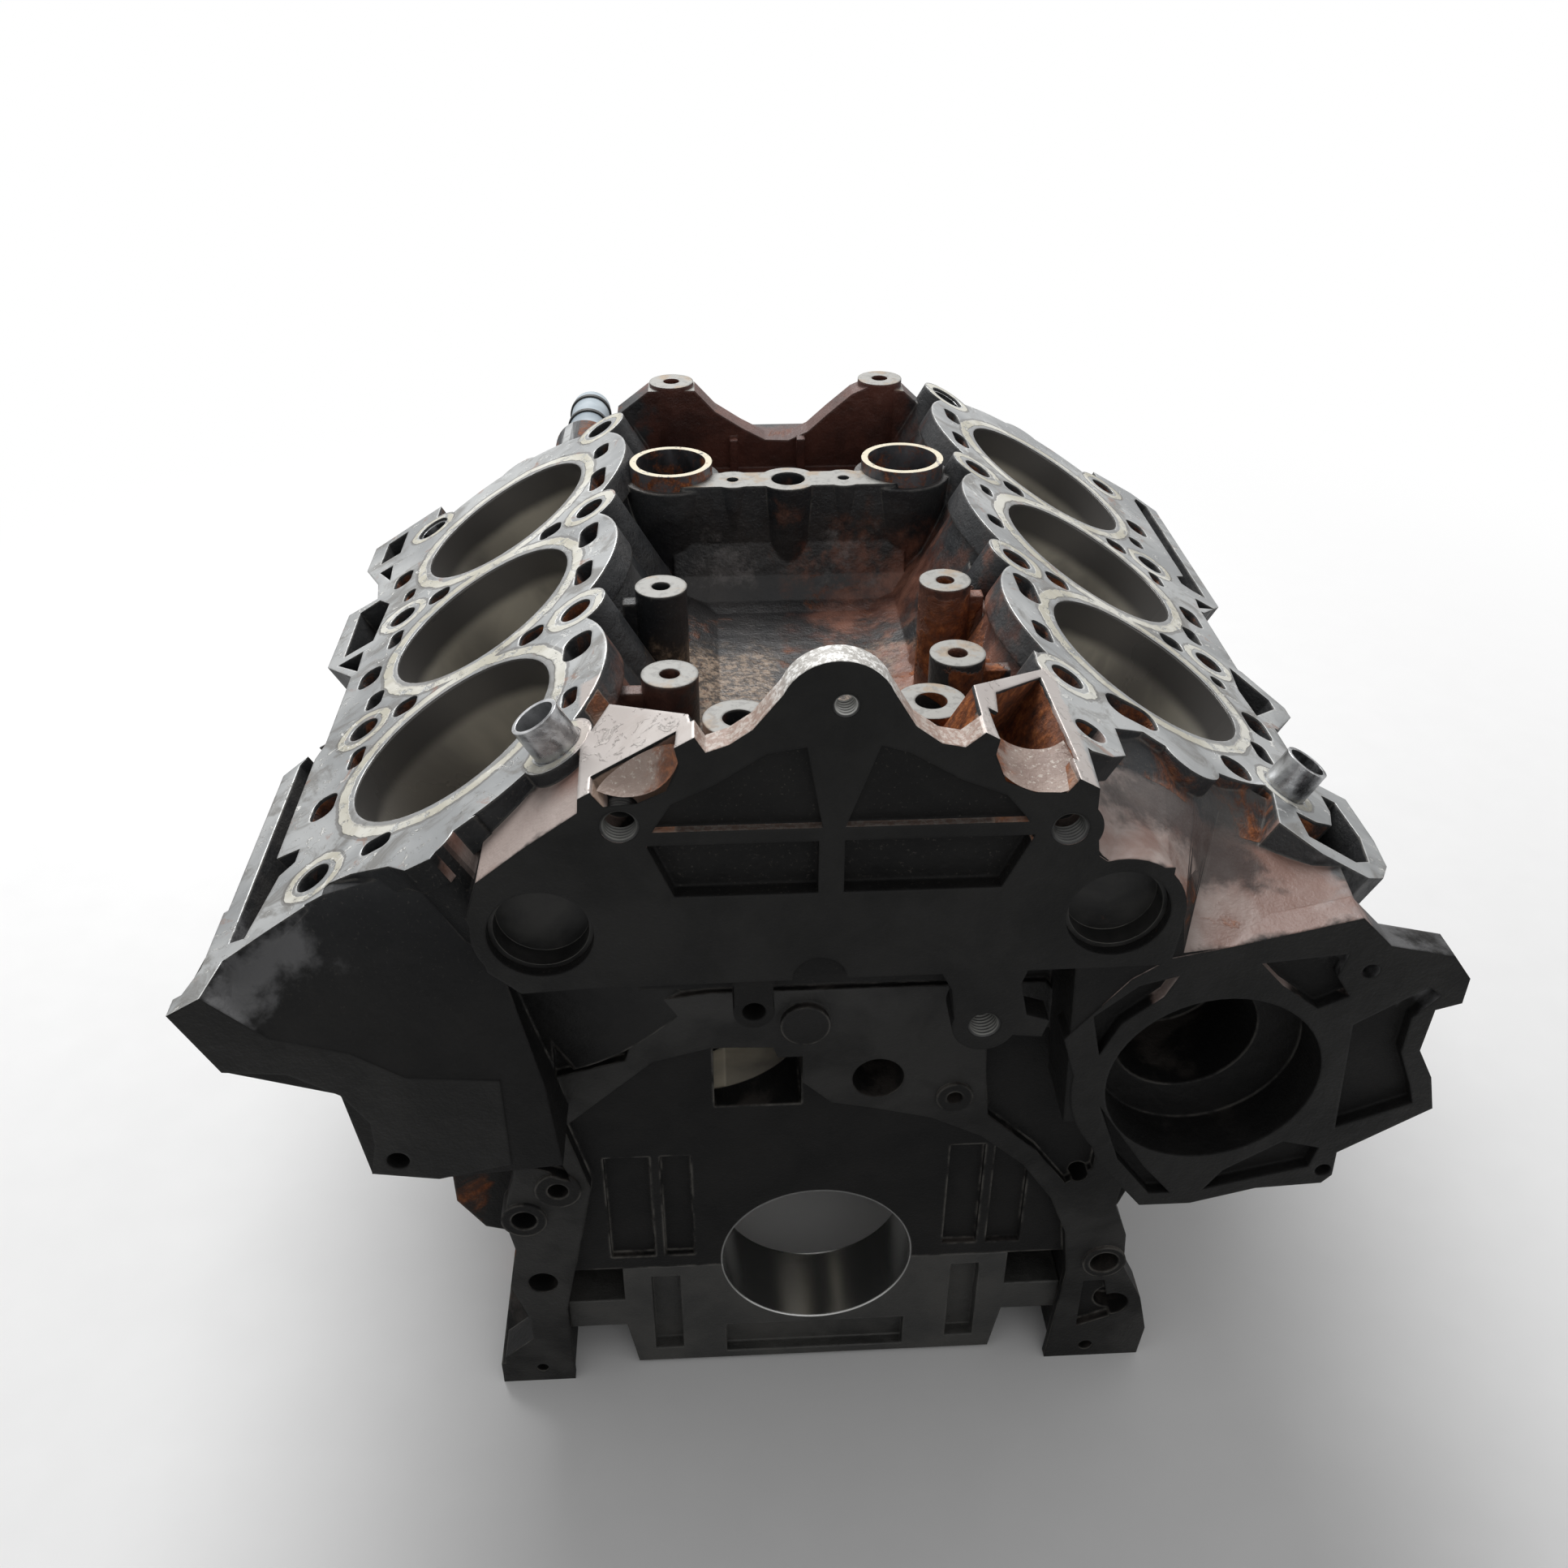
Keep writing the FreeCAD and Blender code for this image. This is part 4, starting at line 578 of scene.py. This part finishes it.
def ear_pockets(tree, place, bank_place):
    """Inside of the lifting ears' scoops, without the flat panels and bolt holes beside them."""
    inside = zone(tree, bank_place, *EAR_INSIDE)
    split = coordinates(tree, place)
    outboard = ramp(tree, split["Y"], -0.0278, -0.0274)
    slanted = inverse(tree, facing(tree, FORWARD, 0.97, 0.99))
    lift_holes = near_axis(tree, place, LIFT_HOLE, 9.5, 10.0)
    holes = both(tree, lift_holes, ramp(tree, split["Y"], -0.022, -0.020, 1.0, 0.0))
    return both(tree, without(tree, inside, holes), either(tree, outboard, slanted))


def head_face_finish(tree, place, head, edge, slow):
    """Milled head face: gasket beads round bores and bolts, pale deposits, dark stains."""
    split = coordinates(tree, head["Bank Place"])
    wobble = calc(tree, "SUBTRACT", noise(tree, place, 70.0, 4.0, 0.6, 0.6), 0.5)
    bore = calc(tree, "ADD", head["Bore Distance"], share(tree, wobble, 0.0045))
    bolt = calc(tree, "ADD", head["Bolt Distance"], share(tree, wobble, 0.005))
    milled = blend(tree, ramp(tree, slow, 0.35, 0.65), *MILLED_GREY)
    stain = ramp(tree, noise(tree, place, 48.0, 6.0, 0.68, 0.9), 0.50, 0.66)
    milled = blend(tree, share(tree, stain, 0.70), milled, FACE_STAIN)
    shadow = either(
        tree,
        band(tree, bore, 0.0492, 0.0503, 0.0005),
        band(tree, bolt, 0.0122, 0.0131, 0.0004),
    )
    milled = blend(tree, share(tree, shadow, 0.6), milled, BEAD_SHADOW)
    beads = either(
        tree,
        band(tree, bore, 0.0447, 0.0488, 0.0005),
        band(tree, bolt, 0.0092, 0.0119, 0.0005),
    )
    chipped = ramp(tree, noise(tree, place, 160.0, 5.0, 0.7), 0.34, 0.47)
    beads = both(tree, beads, chipped)
    cream = blend(tree, ramp(tree, slow, 0.4, 0.6), *GASKET_CREAM)
    milled = blend(tree, share(tree, beads, 0.88), milled, cream)
    crumbs = ramp(tree, noise(tree, place, 120.0, 7.0, 0.74, 1.5), 0.575, 0.63)
    outer = ramp(tree, split["X"], 0.034, 0.052)
    fore = ramp(tree, split["Y"], 0.03, 0.0)
    crumbs = both(tree, crumbs, lerp(tree, either(tree, outer, fore), 0.45, 1.0))
    milled = blend(tree, share(tree, crumbs, 0.8), milled, SCALE_CRUMBS)
    ring = ramp(tree, noise(tree, place, 60.0, 5.0, 0.7, 0.7), 0.60, 0.68)
    milled = blend(tree, share(tree, without(tree, ring, beads), 0.5), milled, FACE_RUST)
    milled = blend(tree, share(tree, edge["Wear"], 0.5), milled, FACE_EDGES)
    scorch = both(tree, band(tree, bore, 0.0425, 0.0446, 0.0008), ramp(tree, slow, 0.40, 0.58))
    milled = blend(tree, share(tree, scorch, 0.5), milled, BORE_SCORCH)
    ears = zone(tree, head["Bank Place"], *EAR_FACE)
    ear_tone = blend(tree, slow, *EAR_TOP)
    milled = blend(tree, share(tree, ears, 0.8), milled, ear_tone)
    return milled, either(tree, beads, crumbs)


def block_material():
    material, tree, shader, place = start_material("cast_iron_block_finish")
    split = coordinates(tree, place)
    cast = use(tree, CASTING, {"Place": place, "Grain Size": 0.0011})
    edge = use(tree, EDGES, {"Place": place, "Rounding": 0.0016})
    head = use(tree, HEAD_FACE, {"Place": place})
    bank_place = head["Bank Place"]
    slow = noise(tree, place, 22.0, 4.0, 0.55, 0.5)
    upward = facing(tree, UP, 0.25, 0.85)
    level_up = facing(tree, UP)

    colour = bare_casting(tree, place, cast, edge, upward)
    colour, between = valley_stains(tree, place, colour, cast)
    colour, pale_tops = shoulder_tints(tree, place, bank_place, colour, upward, slow)
    rough = lerp(tree, slow, 0.42, 0.72)
    rough = lerp(tree, pale_tops, rough, 0.46)
    rough = lerp(tree, between, rough, lerp(tree, slow, 0.30, 0.50))

    # Rust: thick in the ears, thinner in the water openings, the valley and low on the flanks.
    pockets = ear_pockets(tree, place, bank_place)
    ragged_depth = calc(tree, "ADD", split["Y"], share(tree, slow, 0.006))
    lip = ramp(tree, ragged_depth, -0.022, -0.017, 1.0, 0.0)
    left_ear = inverse(tree, head["Side"])
    crusted = blend(tree, cast["Patches"], *EAR_CRUST)
    pale = share(tree, both(tree, pockets, either(tree, lip, left_ear)), 0.9)
    colour = blend(tree, pale, colour, crusted)
    pocket_rust = both(tree, pockets, lerp(tree, left_ear, lerp(tree, lip, 0.95, 0.52), 0.47))
    outside_bore = ramp(tree, head["Bore Distance"], 0.0433, 0.0445)
    openings = both(tree, outside_bore, zone(tree, bank_place, *HEAD_OPENINGS))
    boss_streaks = zone(tree, place, *BOSS_STREAKS)
    low = ramp(tree, split["Z"], 0.11, 0.05)
    low_flanks = both(tree, low, ramp(tree, calc(tree, "ABSOLUTE", split["X"]), 0.12, 0.135))
    dowel_patch = zone(tree, place, *DOWEL_PATCH)
    amount = either(
        tree,
        pocket_rust,
        share(tree, openings, 0.46),
        share(tree, both(tree, between, upward), 0.36),
        share(tree, boss_streaks, 0.56),
        share(tree, low_flanks, 0.40),
        share(tree, dowel_patch, 0.44),
    )
    amount = calc(tree, "ADD", amount, 0.04)
    rust = use(tree, RUST, {"Place": place, "Amount": amount, "Patch Size": 0.03})
    colour = blend(tree, share(tree, rust["Mask"], 0.86), colour, rust["Colour"])
    rough = lerp(tree, rust["Mask"], rough, 0.88)

    on_face = band(tree, head["Height"], -0.0006, 0.0006, 0.0004)
    square = [
        facing(tree, (side * math.sin(BANK_ANGLE), 0.0, math.cos(BANK_ANGLE))) for side in (-1, 1)
    ]
    deck = both(tree, on_face, either(tree, *square))
    milled, crust = head_face_finish(tree, place, head, edge, slow)
    colour = blend(tree, deck, colour, milled)
    rough = lerp(tree, deck, rough, lerp(tree, crust, lerp(tree, slow, 0.30, 0.48), 0.7))
    metal = both(tree, deck, lerp(tree, crust, 0.72, 0.05))

    # Milled pads and boss tops in the valley, pale with yellowish stains.
    above = band(tree, split["Z"], 0.2485, 0.2600, 0.0005)
    pads = both(tree, above, zone(tree, place, *VALLEY_PADS), level_up)
    pad_stain = ramp(tree, noise(tree, place, 85.0, 4.0, 0.6), 0.5, 0.64)
    pad_colour = blend(tree, share(tree, pad_stain, 0.6), *PAD_TONES)
    ring_marks = ramp(tree, noise(tree, place, 260.0, 4.0, 0.7), 0.5, 0.62)
    pad_colour = blend(tree, share(tree, ring_marks, 0.5), pad_colour, PAD_MARKS)
    colour = blend(tree, pads, colour, pad_colour)
    # Milled faces at the front, dull, painted near black as shade of the back-lit front.
    front = band(tree, split["Y"], TIMING_FACE - 0.0003, TIMING_FACE + 0.0003, 0.0002)
    rail = band(tree, split["Y"], RAIL_FACE - 0.0003, RAIL_FACE + 0.0003, 0.0002)
    dull = both(tree, either(tree, front, rail), facing(tree, FORWARD))
    front_shade_colour = blend(tree, cast["Patches"], *FRONT_SHADE_BLACK)
    colour = blend(tree, dull, colour, front_shade_colour)
    worn_rail = both(tree, rail, facing(tree, FORWARD), ramp(tree, slow, 0.42, 0.6))
    colour = blend(tree, share(tree, worn_rail, 0.5), colour, WORN_RAIL)
    rough = lerp(tree, either(tree, pads, dull), rough, 0.5)

    # Cylinder walls and the main bearing bores.
    inside = ramp(tree, head["Bore Distance"], BORE_RADIUS + 0.0004, BORE_RADIUS + 0.0008, 1.0, 0.0)
    in_bore = both(tree, inside, band(tree, head["Height"], -0.2, -0.0003, 0.0004))
    ragged_height = calc(tree, "ADD", head["Height"], share(tree, slow, 0.006))
    ring_top = ramp(tree, ragged_height, -0.014, -0.008)
    wall = blend(tree, ramp(tree, slow, 0.4, 0.62), *CYLINDER_WALL)
    wall = blend(tree, ring_top, wall, RING_TRAVEL)
    colour = blend(tree, in_bore, colour, wall)
    metal = lerp(tree, in_bore, metal, 0.55)
    rough = lerp(tree, in_bore, rough, lerp(tree, slow, 0.22, 0.36))
    journal = journal_bore(tree, split)
    colour = blend(tree, journal, colour, BRIGHT_BORE)
    metal = lerp(tree, journal, metal, 0.95)
    rough = lerp(tree, journal, rough, 0.24)

    smooth = either(tree, deck, in_bore, journal, pads)
    hush = inverse(tree, share(tree, smooth, 0.93))
    crusty = both(tree, rust["Crust"], rust["Mask"])
    relief = both(tree, calc(tree, "ADD", cast["Relief"], share(tree, crusty, 1.6)), hush)
    relief = calc(tree, "ADD", relief, share(tree, both(tree, crust, deck), 0.5))
    # Oil and soot at the front and low down give little gloss.
    fore = ramp(tree, split["Y"], -0.020, 0.004, 1.0, 0.0)
    black = either(tree, fore, ramp(tree, split["Z"], 0.12, 0.16, 1.0, 0.0))
    gloss = lerp(tree, either(tree, pale_tops, smooth), lerp(tree, black, 0.32, 0.14), 0.5)
    tree.links.new(gloss, shader.inputs["Specular IOR Level"])
    finish_shader(tree, shader, colour, rough, metal, relief, 0.0007, edge["Normal"])
    return material


CAP_IRON = ((0.014, 0.014, 0.013), (0.034, 0.033, 0.030))
CAP_EDGES = (0.12, 0.115, 0.105)


def cap_material():
    material, tree, shader, place = start_material("main_cap_finish")
    split = coordinates(tree, place)
    cast = use(tree, CASTING, {"Place": place, "Grain Size": 0.0010})
    edge = use(tree, EDGES, {"Place": place, "Rounding": 0.0014})
    colour = blend(tree, cast["Patches"], *CAP_IRON)
    colour = blend(tree, share(tree, edge["Wear"], 0.3), colour, CAP_EDGES)
    rust = use(tree, RUST, {"Place": place, "Amount": 0.30, "Patch Size": 0.018})
    colour = blend(tree, share(tree, rust["Mask"], 0.7), colour, rust["Colour"])
    journal = journal_bore(tree, split)
    colour = blend(tree, journal, colour, BRIGHT_BORE)
    metal = share(tree, journal, 0.95)
    rough = lerp(tree, journal, lerp(tree, cast["Patches"], 0.5, 0.7), 0.24)
    hush = inverse(tree, share(tree, journal, 0.95))
    relief = both(tree, cast["Relief"], hush)
    finish_shader(tree, shader, colour, rough, metal, relief, 0.0006, edge["Normal"])
    return material


def steel_material(name, dark, light, wear_colour, rough_span, metal, rust_amount):
    """Turned or pressed steel with patchy tone, bright edges and a little rust."""
    material, tree, shader, place = start_material(name)
    cast = use(tree, CASTING, {"Place": place, "Grain Size": 0.0006})
    edge = use(tree, EDGES, {"Place": place, "Rounding": 0.0004})
    colour = blend(tree, cast["Patches"], dark, light)
    colour = blend(tree, share(tree, cast["Specks"], 0.4), colour, dark)
    colour = blend(tree, share(tree, edge["Wear"], 0.6), colour, wear_colour)
    rust = use(tree, RUST, {"Place": place, "Amount": rust_amount, "Patch Size": 0.009})
    colour = blend(tree, share(tree, rust["Mask"], 0.8), colour, rust["Colour"])
    metallic = lerp(tree, rust["Mask"], metal, 0.0)
    rough = lerp(tree, cast["Patches"], *rough_span)
    finish_shader(tree, shader, colour, rough, metallic, cast["Relief"], 0.00012, edge["Normal"])
    return material


SLEEVE_STEEL = ((0.035, 0.036, 0.040), (0.16, 0.165, 0.18))
SLEEVE_RIM = (0.68, 0.62, 0.48)
SLEEVE_METAL = 0.6


def sleeve_material():
    """Valley sleeves: a pale cream rim on a stained steel sleeve."""
    material, tree, shader, place = start_material("valley_sleeve_finish")
    split = coordinates(tree, place)
    cast = use(tree, CASTING, {"Place": place, "Grain Size": 0.0007})
    edge = use(tree, EDGES, {"Place": place, "Rounding": 0.0004})
    rust = use(tree, RUST, {"Place": place, "Amount": 0.50, "Patch Size": 0.008})
    colour = blend(tree, cast["Patches"], *SLEEVE_STEEL)
    colour = blend(tree, rust["Mask"], colour, rust["Colour"])
    rim = both(tree, ramp(tree, split["Z"], 0.2525, 0.2540), facing(tree, UP, 0.5, 0.8))
    ragged = ramp(tree, noise(tree, place, 260.0, 4.0, 0.6), 0.32, 0.45)
    rim = both(tree, rim, ragged)
    colour = blend(tree, rim, colour, SLEEVE_RIM)
    dull = share(tree, either(tree, rim, rust["Mask"]), SLEEVE_METAL)
    metal = calc(tree, "SUBTRACT", SLEEVE_METAL, dull)
    rough = lerp(tree, rim, 0.42, 0.7)
    finish_shader(tree, shader, colour, rough, metal, cast["Relief"], 0.0002, edge["Normal"])
    return material


def moulded_material(name, dark, light, rough_span):
    """Plain moulded rubber or plastic with faintly paler edges."""
    material, tree, shader, place = start_material(name)
    cast = use(tree, CASTING, {"Place": place, "Grain Size": 0.0009})
    edge = use(tree, EDGES, {"Place": place, "Rounding": 0.0006})
    colour = blend(tree, cast["Patches"], dark, light)
    colour = blend(tree, share(tree, edge["Wear"], 0.3), colour, light)
    rough = lerp(tree, cast["Patches"], *rough_span)
    finish_shader(tree, shader, colour, rough, 0.0, cast["Relief"], 0.00008, edge["Normal"])
    return material


def dress(names, material):
    for name in names:
        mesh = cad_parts[name].data
        mesh.materials.clear()
        mesh.materials.append(material)


dress(["cylinder_block"], block_material())
dress([f"main_cap_{n}" for n in range(1, 5)], cap_material())
dress(
    ["main_cap_bolts", "cap_side_bolts"],
    steel_material(
        "bolt_finish",
        dark=(0.045, 0.045, 0.047),
        light=(0.11, 0.11, 0.112),
        wear_colour=(0.42, 0.42, 0.41),
        rough_span=(0.35, 0.55),
        metal=0.7,
        rust_amount=0.30,
    ),
)
sides = ("left", "right")
end_plugs = [f"{end}_core_plug_{side}" for end in ("front", "rear") for side in sides]
dress(
    end_plugs + [f"side_core_plugs_{side}" for side in sides],
    steel_material(
        "core_plug_finish",
        dark=(0.013, 0.013, 0.013),
        light=(0.036, 0.035, 0.033),
        wear_colour=(0.12, 0.115, 0.10),
        rough_span=(0.42, 0.6),
        metal=0.45,
        rust_amount=0.30,
    ),
)
dress(
    ["head_dowel_left", "head_dowel_right", "head_ring_dowels"],
    steel_material(
        "dowel_finish",
        dark=(0.09, 0.09, 0.095),
        light=(0.62, 0.63, 0.64),
        wear_colour=(0.85, 0.85, 0.85),
        rough_span=(0.18, 0.38),
        metal=0.95,
        rust_amount=0.24,
    ),
)
dress(["valley_sleeve_left", "valley_sleeve_right"], sleeve_material())
dress(
    ["side_pipe"],
    moulded_material(
        "pipe_finish", dark=(0.24, 0.29, 0.33), light=(0.42, 0.48, 0.52), rough_span=(0.35, 0.5)
    ),
)
dress(
    ["side_pipe_seals"],
    moulded_material(
        "seal_finish", dark=(0.012, 0.014, 0.014), light=(0.03, 0.032, 0.032), rough_span=(0.5, 0.7)
    ),
)


# ------------------------------------------------------------ threads in the bolt holes


THREAD_HEIGHT = 0.6
THREAD_PITCH = 1.5
THREAD_MOUTH = -35.8
# Radius, across, up and depth in millimetres: top of the front wall, both lifting ears, the
# hanging ear.
THREADED_HOLES = (
    (3.95, 2.2, 284.2, 9.0),
    (5.95, -65.7, 243.9, 7.5),
    (5.95, 72.7, 238.1, 9.0),
    (5.45, 52.0, 158.0, 13.5),
)
# Painted shade: near black in the thread grooves.
GROOVE_SHADE = (0.006, 0.006, 0.006)
CREST_TONES = ((0.06, 0.06, 0.058), (0.13, 0.13, 0.12))
# Painted highlight on the crests of the hole at the top of the front wall.
CREST_HIGHLIGHT = (0.42, 0.42, 0.40)


def cut_thread(radius, across, up, depth):
    """Lining of a threaded hole that runs backwards: ridges drawn as a folded tube."""
    bpy.ops.object.select_all(action="DESELECT")
    bpy.ops.mesh.primitive_circle_add(
        vertices=40,
        radius=radius * MM,
        location=(across * MM, THREAD_MOUTH * MM, up * MM),
        rotation=(math.pi / 2, 0.0, 0.0),
    )
    lining = bpy.context.object
    bpy.ops.object.transform_apply(location=True, rotation=True, scale=True)
    bpy.ops.object.mode_set(mode="EDIT")
    bpy.ops.mesh.select_all(action="SELECT")
    centre = (across * MM, 0.0, up * MM)
    crest = 1.0 - THREAD_HEIGHT * THREAD_PITCH / radius
    step = THREAD_PITCH / 2 * MM
    for turn in range(2 * int(depth / THREAD_PITCH)):
        bpy.ops.mesh.extrude_region_move(TRANSFORM_OT_translate={"value": (0.0, step, 0.0)})
        size = crest if turn % 2 == 0 else 1.0 / crest
        bpy.ops.transform.resize(value=(size, 1.0, size), center_override=centre)
    bpy.ops.object.mode_set(mode="OBJECT")
    bpy.ops.object.shade_flat()
    return lining


def thread_material():
    """Painted shade in the grooves and brighter crests, one per turn, with a painted highlight on
    the crests high up.
    """
    material, tree, shader, place = start_material("bolt_hole_thread_finish")
    cast = use(tree, CASTING, {"Place": place, "Grain Size": 0.0006})
    split = coordinates(tree, place)
    inward = calc(tree, "SUBTRACT", split["Y"], THREAD_MOUTH * MM)
    turns = calc(tree, "DIVIDE", inward, THREAD_PITCH * MM)
    crest = band(tree, calc(tree, "FRACT", turns), 0.38, 0.62, 0.2)
    colour = blend(tree, crest, GROOVE_SHADE, blend(tree, cast["Patches"], *CREST_TONES))
    # Painted highlight on the crests high up, in the hole at the top of the front wall.
    high = ramp(tree, split["Z"], 0.26, 0.28)
    colour = blend(tree, both(tree, high, crest), colour, CREST_HIGHLIGHT)
    metal = share(tree, crest, 0.5)
    finish_shader(tree, shader, colour, 0.42, metal, cast["Relief"], 0.0001, None)
    return material


def line_threaded_holes():
    linings = [cut_thread(*hole) for hole in THREADED_HOLES]
    bpy.ops.object.select_all(action="DESELECT")
    for lining in linings:
        lining.select_set(True)
    bpy.context.view_layer.objects.active = linings[0]
    bpy.ops.object.join()
    threads = bpy.context.object
    threads.name = "bolt_hole_threads"
    threads.data.materials.append(thread_material())
    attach(threads, "root")


line_threaded_holes()


# ------------------------------------------------------------ scoops of the lifting ears


SCOOP_IRON = ((0.25, 0.175, 0.145), (0.44, 0.35, 0.30))
SCOOP_SPARKLE = (0.74, 0.69, 0.62)
BELOW_HEAD_FACE = 0.6
BEHIND_TIMING_FACE = -35.7


def scoop_material():
    """Pale speckled casting in the scoops with orange rust towards the deep side."""
    material, tree, shader, place = start_material("ear_scoop_finish")
    split = coordinates(tree, place)
    cast = use(tree, CASTING, {"Place": place, "Grain Size": 0.0010})
    base = blend(tree, cast["Patches"], *SCOOP_IRON)
    sparkle = ramp(tree, noise(tree, place, 620.0, 4.0, 0.7), 0.56, 0.66)
    base = blend(tree, share(tree, sparkle, 0.6), base, SCOOP_SPARKLE)
    inboard = ramp(tree, calc(tree, "ABSOLUTE", split["X"]), 0.066, 0.050)
    amount = calc(tree, "ADD", share(tree, inboard, 0.26), 0.34)
    rust = use(tree, RUST, {"Place": place, "Amount": amount, "Patch Size": 0.016})
    colour = blend(tree, share(tree, rust["Mask"], 0.8), base, rust["Colour"])
    relief = calc(tree, "ADD", cast["Relief"], share(tree, rust["Crust"], 0.9))
    rough = lerp(tree, rust["Mask"], 0.5, 0.85)
    finish_shader(tree, shader, colour, rough, 0.0, relief, 0.0007, None)
    return material


def bowl_scoop(name, finish, side, middle, radii, rear, drop):
    """A hollow, part of an ellipsoid, laid in the bank's frame, open at the top and front."""
    bpy.ops.object.select_all(action="DESELECT")
    spot = (side * middle[0] * MM, middle[1] * MM, DECK_HEIGHT + middle[2] * MM)
    bpy.ops.mesh.primitive_uv_sphere_add(segments=56, ring_count=32, radius=1.0)
    bowl = bpy.context.object
    bowl.name = name
    bowl.scale = [radius * MM for radius in radii]
    bowl.location = spot
    bpy.ops.object.transform_apply(location=True, rotation=True, scale=True)
    bpy.ops.object.mode_set(mode="EDIT")
    cuts = (
        ((0.0, 0.0, DECK_HEIGHT - BELOW_HEAD_FACE * MM), UP),
        ((0.0, BEHIND_TIMING_FACE * MM, 0.0), FORWARD),
        ((0.0, rear * MM, 0.0), (0.0, 1.0, 0.0)),
    )
    for point, outward in cuts:
        bpy.ops.mesh.select_all(action="SELECT")
        bpy.ops.mesh.bisect(plane_co=point, plane_no=outward, clear_outer=True)
    if drop:
        bpy.ops.mesh.extrude_region_move(TRANSFORM_OT_translate={"value": (0.0, 0.0, -drop * MM)})
    bpy.ops.mesh.select_all(action="SELECT")
    bpy.ops.mesh.flip_normals()
    bpy.ops.object.mode_set(mode="OBJECT")
    bowl.rotation_euler = (0.0, side * BANK_ANGLE, 0.0)
    bpy.ops.object.transform_apply(location=True, rotation=True, scale=True)
    bpy.ops.object.shade_smooth()
    bowl.data.materials.append(finish)
    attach(bowl, "root")


scoop_finish = scoop_material()
bowl_scoop(
    "left_ear_scoop",
    scoop_finish,
    side=-1,
    middle=(-81, -38, 8),
    radii=(17, 11.5, 18),
    rear=-27.2,
    drop=0,
)
bowl_scoop(
    "right_ear_scoop",
    scoop_finish,
    side=1,
    middle=(-79, -36, 1),
    radii=(16.5, 50, 12),
    rear=-13,
    drop=12,
)


# ------------------------------------------------------------ floor, light and camera


WHITE = (1.0, 1.0, 1.0, 1.0)
FLOOR_TONES = ((0.80, 0.80, 0.80), (0.84, 0.84, 0.84))
FLOOR_SIZE = 12.0
FADE_SPAN = (0.35, 1.1)
CENTRE = (0.0, 0.15, 0.12)
CAMERA_PLACE = (-0.03662, -0.40942, 0.50459)
CAMERA_TURN = (3.182, 33.423, 0.132)
CAMERA_LENS = 34.477


def floor_material():
    """Plain pale floor that fades to white away from the block."""
    material, tree, shader, place = start_material("pale_floor", Roughness=0.75)
    speck = noise(tree, place, 40.0, 2.0, 0.5)
    colour = blend(tree, speck, *FLOOR_TONES)
    tree.links.new(colour, shader.inputs["Base Color"])
    away = vector_calc(tree, "DISTANCE", place, (*CENTRE[:2], FLOOR))["Value"]
    fade = ramp(tree, away, *FADE_SPAN)
    seen = put(tree, "ShaderNodeLightPath").outputs["Is Camera Ray"]
    strength = lerp(tree, seen, 0.3, 1.0)
    white = put(tree, "ShaderNodeEmission", {"Color": WHITE, "Strength": strength})
    mix = put(tree, "ShaderNodeMixShader", {0: fade, 1: shader.outputs[0], 2: white.outputs[0]})
    tree.links.new(mix.outputs[0], tree.nodes["Material Output"].inputs["Surface"])
    return material


def add_floor():
    bpy.ops.object.select_all(action="DESELECT")
    bpy.ops.mesh.primitive_plane_add(size=FLOOR_SIZE, location=(0.0, 0.0, FLOOR))
    floor = bpy.context.object
    floor.name = "studio_floor"
    bpy.ops.object.transform_apply(location=True, rotation=True, scale=True)
    floor.data.materials.append(floor_material())


def add_lamp(name, spot, size, power):
    """Round area lamp aimed at the middle of the block."""
    light = bpy.data.lights.new(name, "AREA")
    light.shape = "DISK"
    light.size = size
    light.energy = power
    lamp = bpy.data.objects.new(name, light)
    bpy.context.scene.collection.objects.link(lamp)
    lamp.location = spot
    lamp.rotation_euler = (Vector(CENTRE) - Vector(spot)).to_track_quat("-Z", "Y").to_euler()


def light_scene():
    world = bpy.data.worlds.new("studio")
    world.use_nodes = True
    tree = world.node_tree
    sky = tree.nodes["Background"]
    rays = put(tree, "ShaderNodeLightPath").outputs
    mirrored = either(tree, rays["Is Glossy Ray"], rays["Is Transmission Ray"])
    seen = either(tree, rays["Is Camera Ray"], mirrored)
    tree.links.new(lerp(tree, seen, 0.40, 1.0), sky.inputs["Strength"])
    sky.inputs["Color"].default_value = WHITE
    bpy.context.scene.world = world
    add_lamp("key_behind", (-0.25, 1.1, 1.5), size=1.1, power=30.0)
    add_lamp("fill_front", (0.4, -1.6, 0.7), size=1.4, power=3.0)


def add_camera():
    yaw, pitch, roll = (math.radians(angle) for angle in CAMERA_TURN)
    flat = math.cos(pitch)
    ahead = Vector((math.sin(yaw) * flat, math.cos(yaw) * flat, -math.sin(pitch)))
    level = Vector((math.cos(yaw), -math.sin(yaw), 0.0))
    upright = level.cross(ahead)
    right = level * math.cos(roll) + upright * math.sin(roll)
    above = upright * math.cos(roll) - level * math.sin(roll)
    data = bpy.data.cameras.new("main_camera")
    data.sensor_width = 36.0
    data.lens = CAMERA_LENS
    data.clip_start = 0.01
    camera = bpy.data.objects.new("main_camera", data)
    bpy.context.scene.collection.objects.link(camera)
    turn = Matrix((right, above, -ahead)).transposed().to_4x4()
    camera.matrix_world = Matrix.Translation(CAMERA_PLACE) @ turn
    bpy.context.scene.camera = camera


add_floor()
light_scene()
add_camera()
bpy.context.scene.view_settings.view_transform = "Standard"
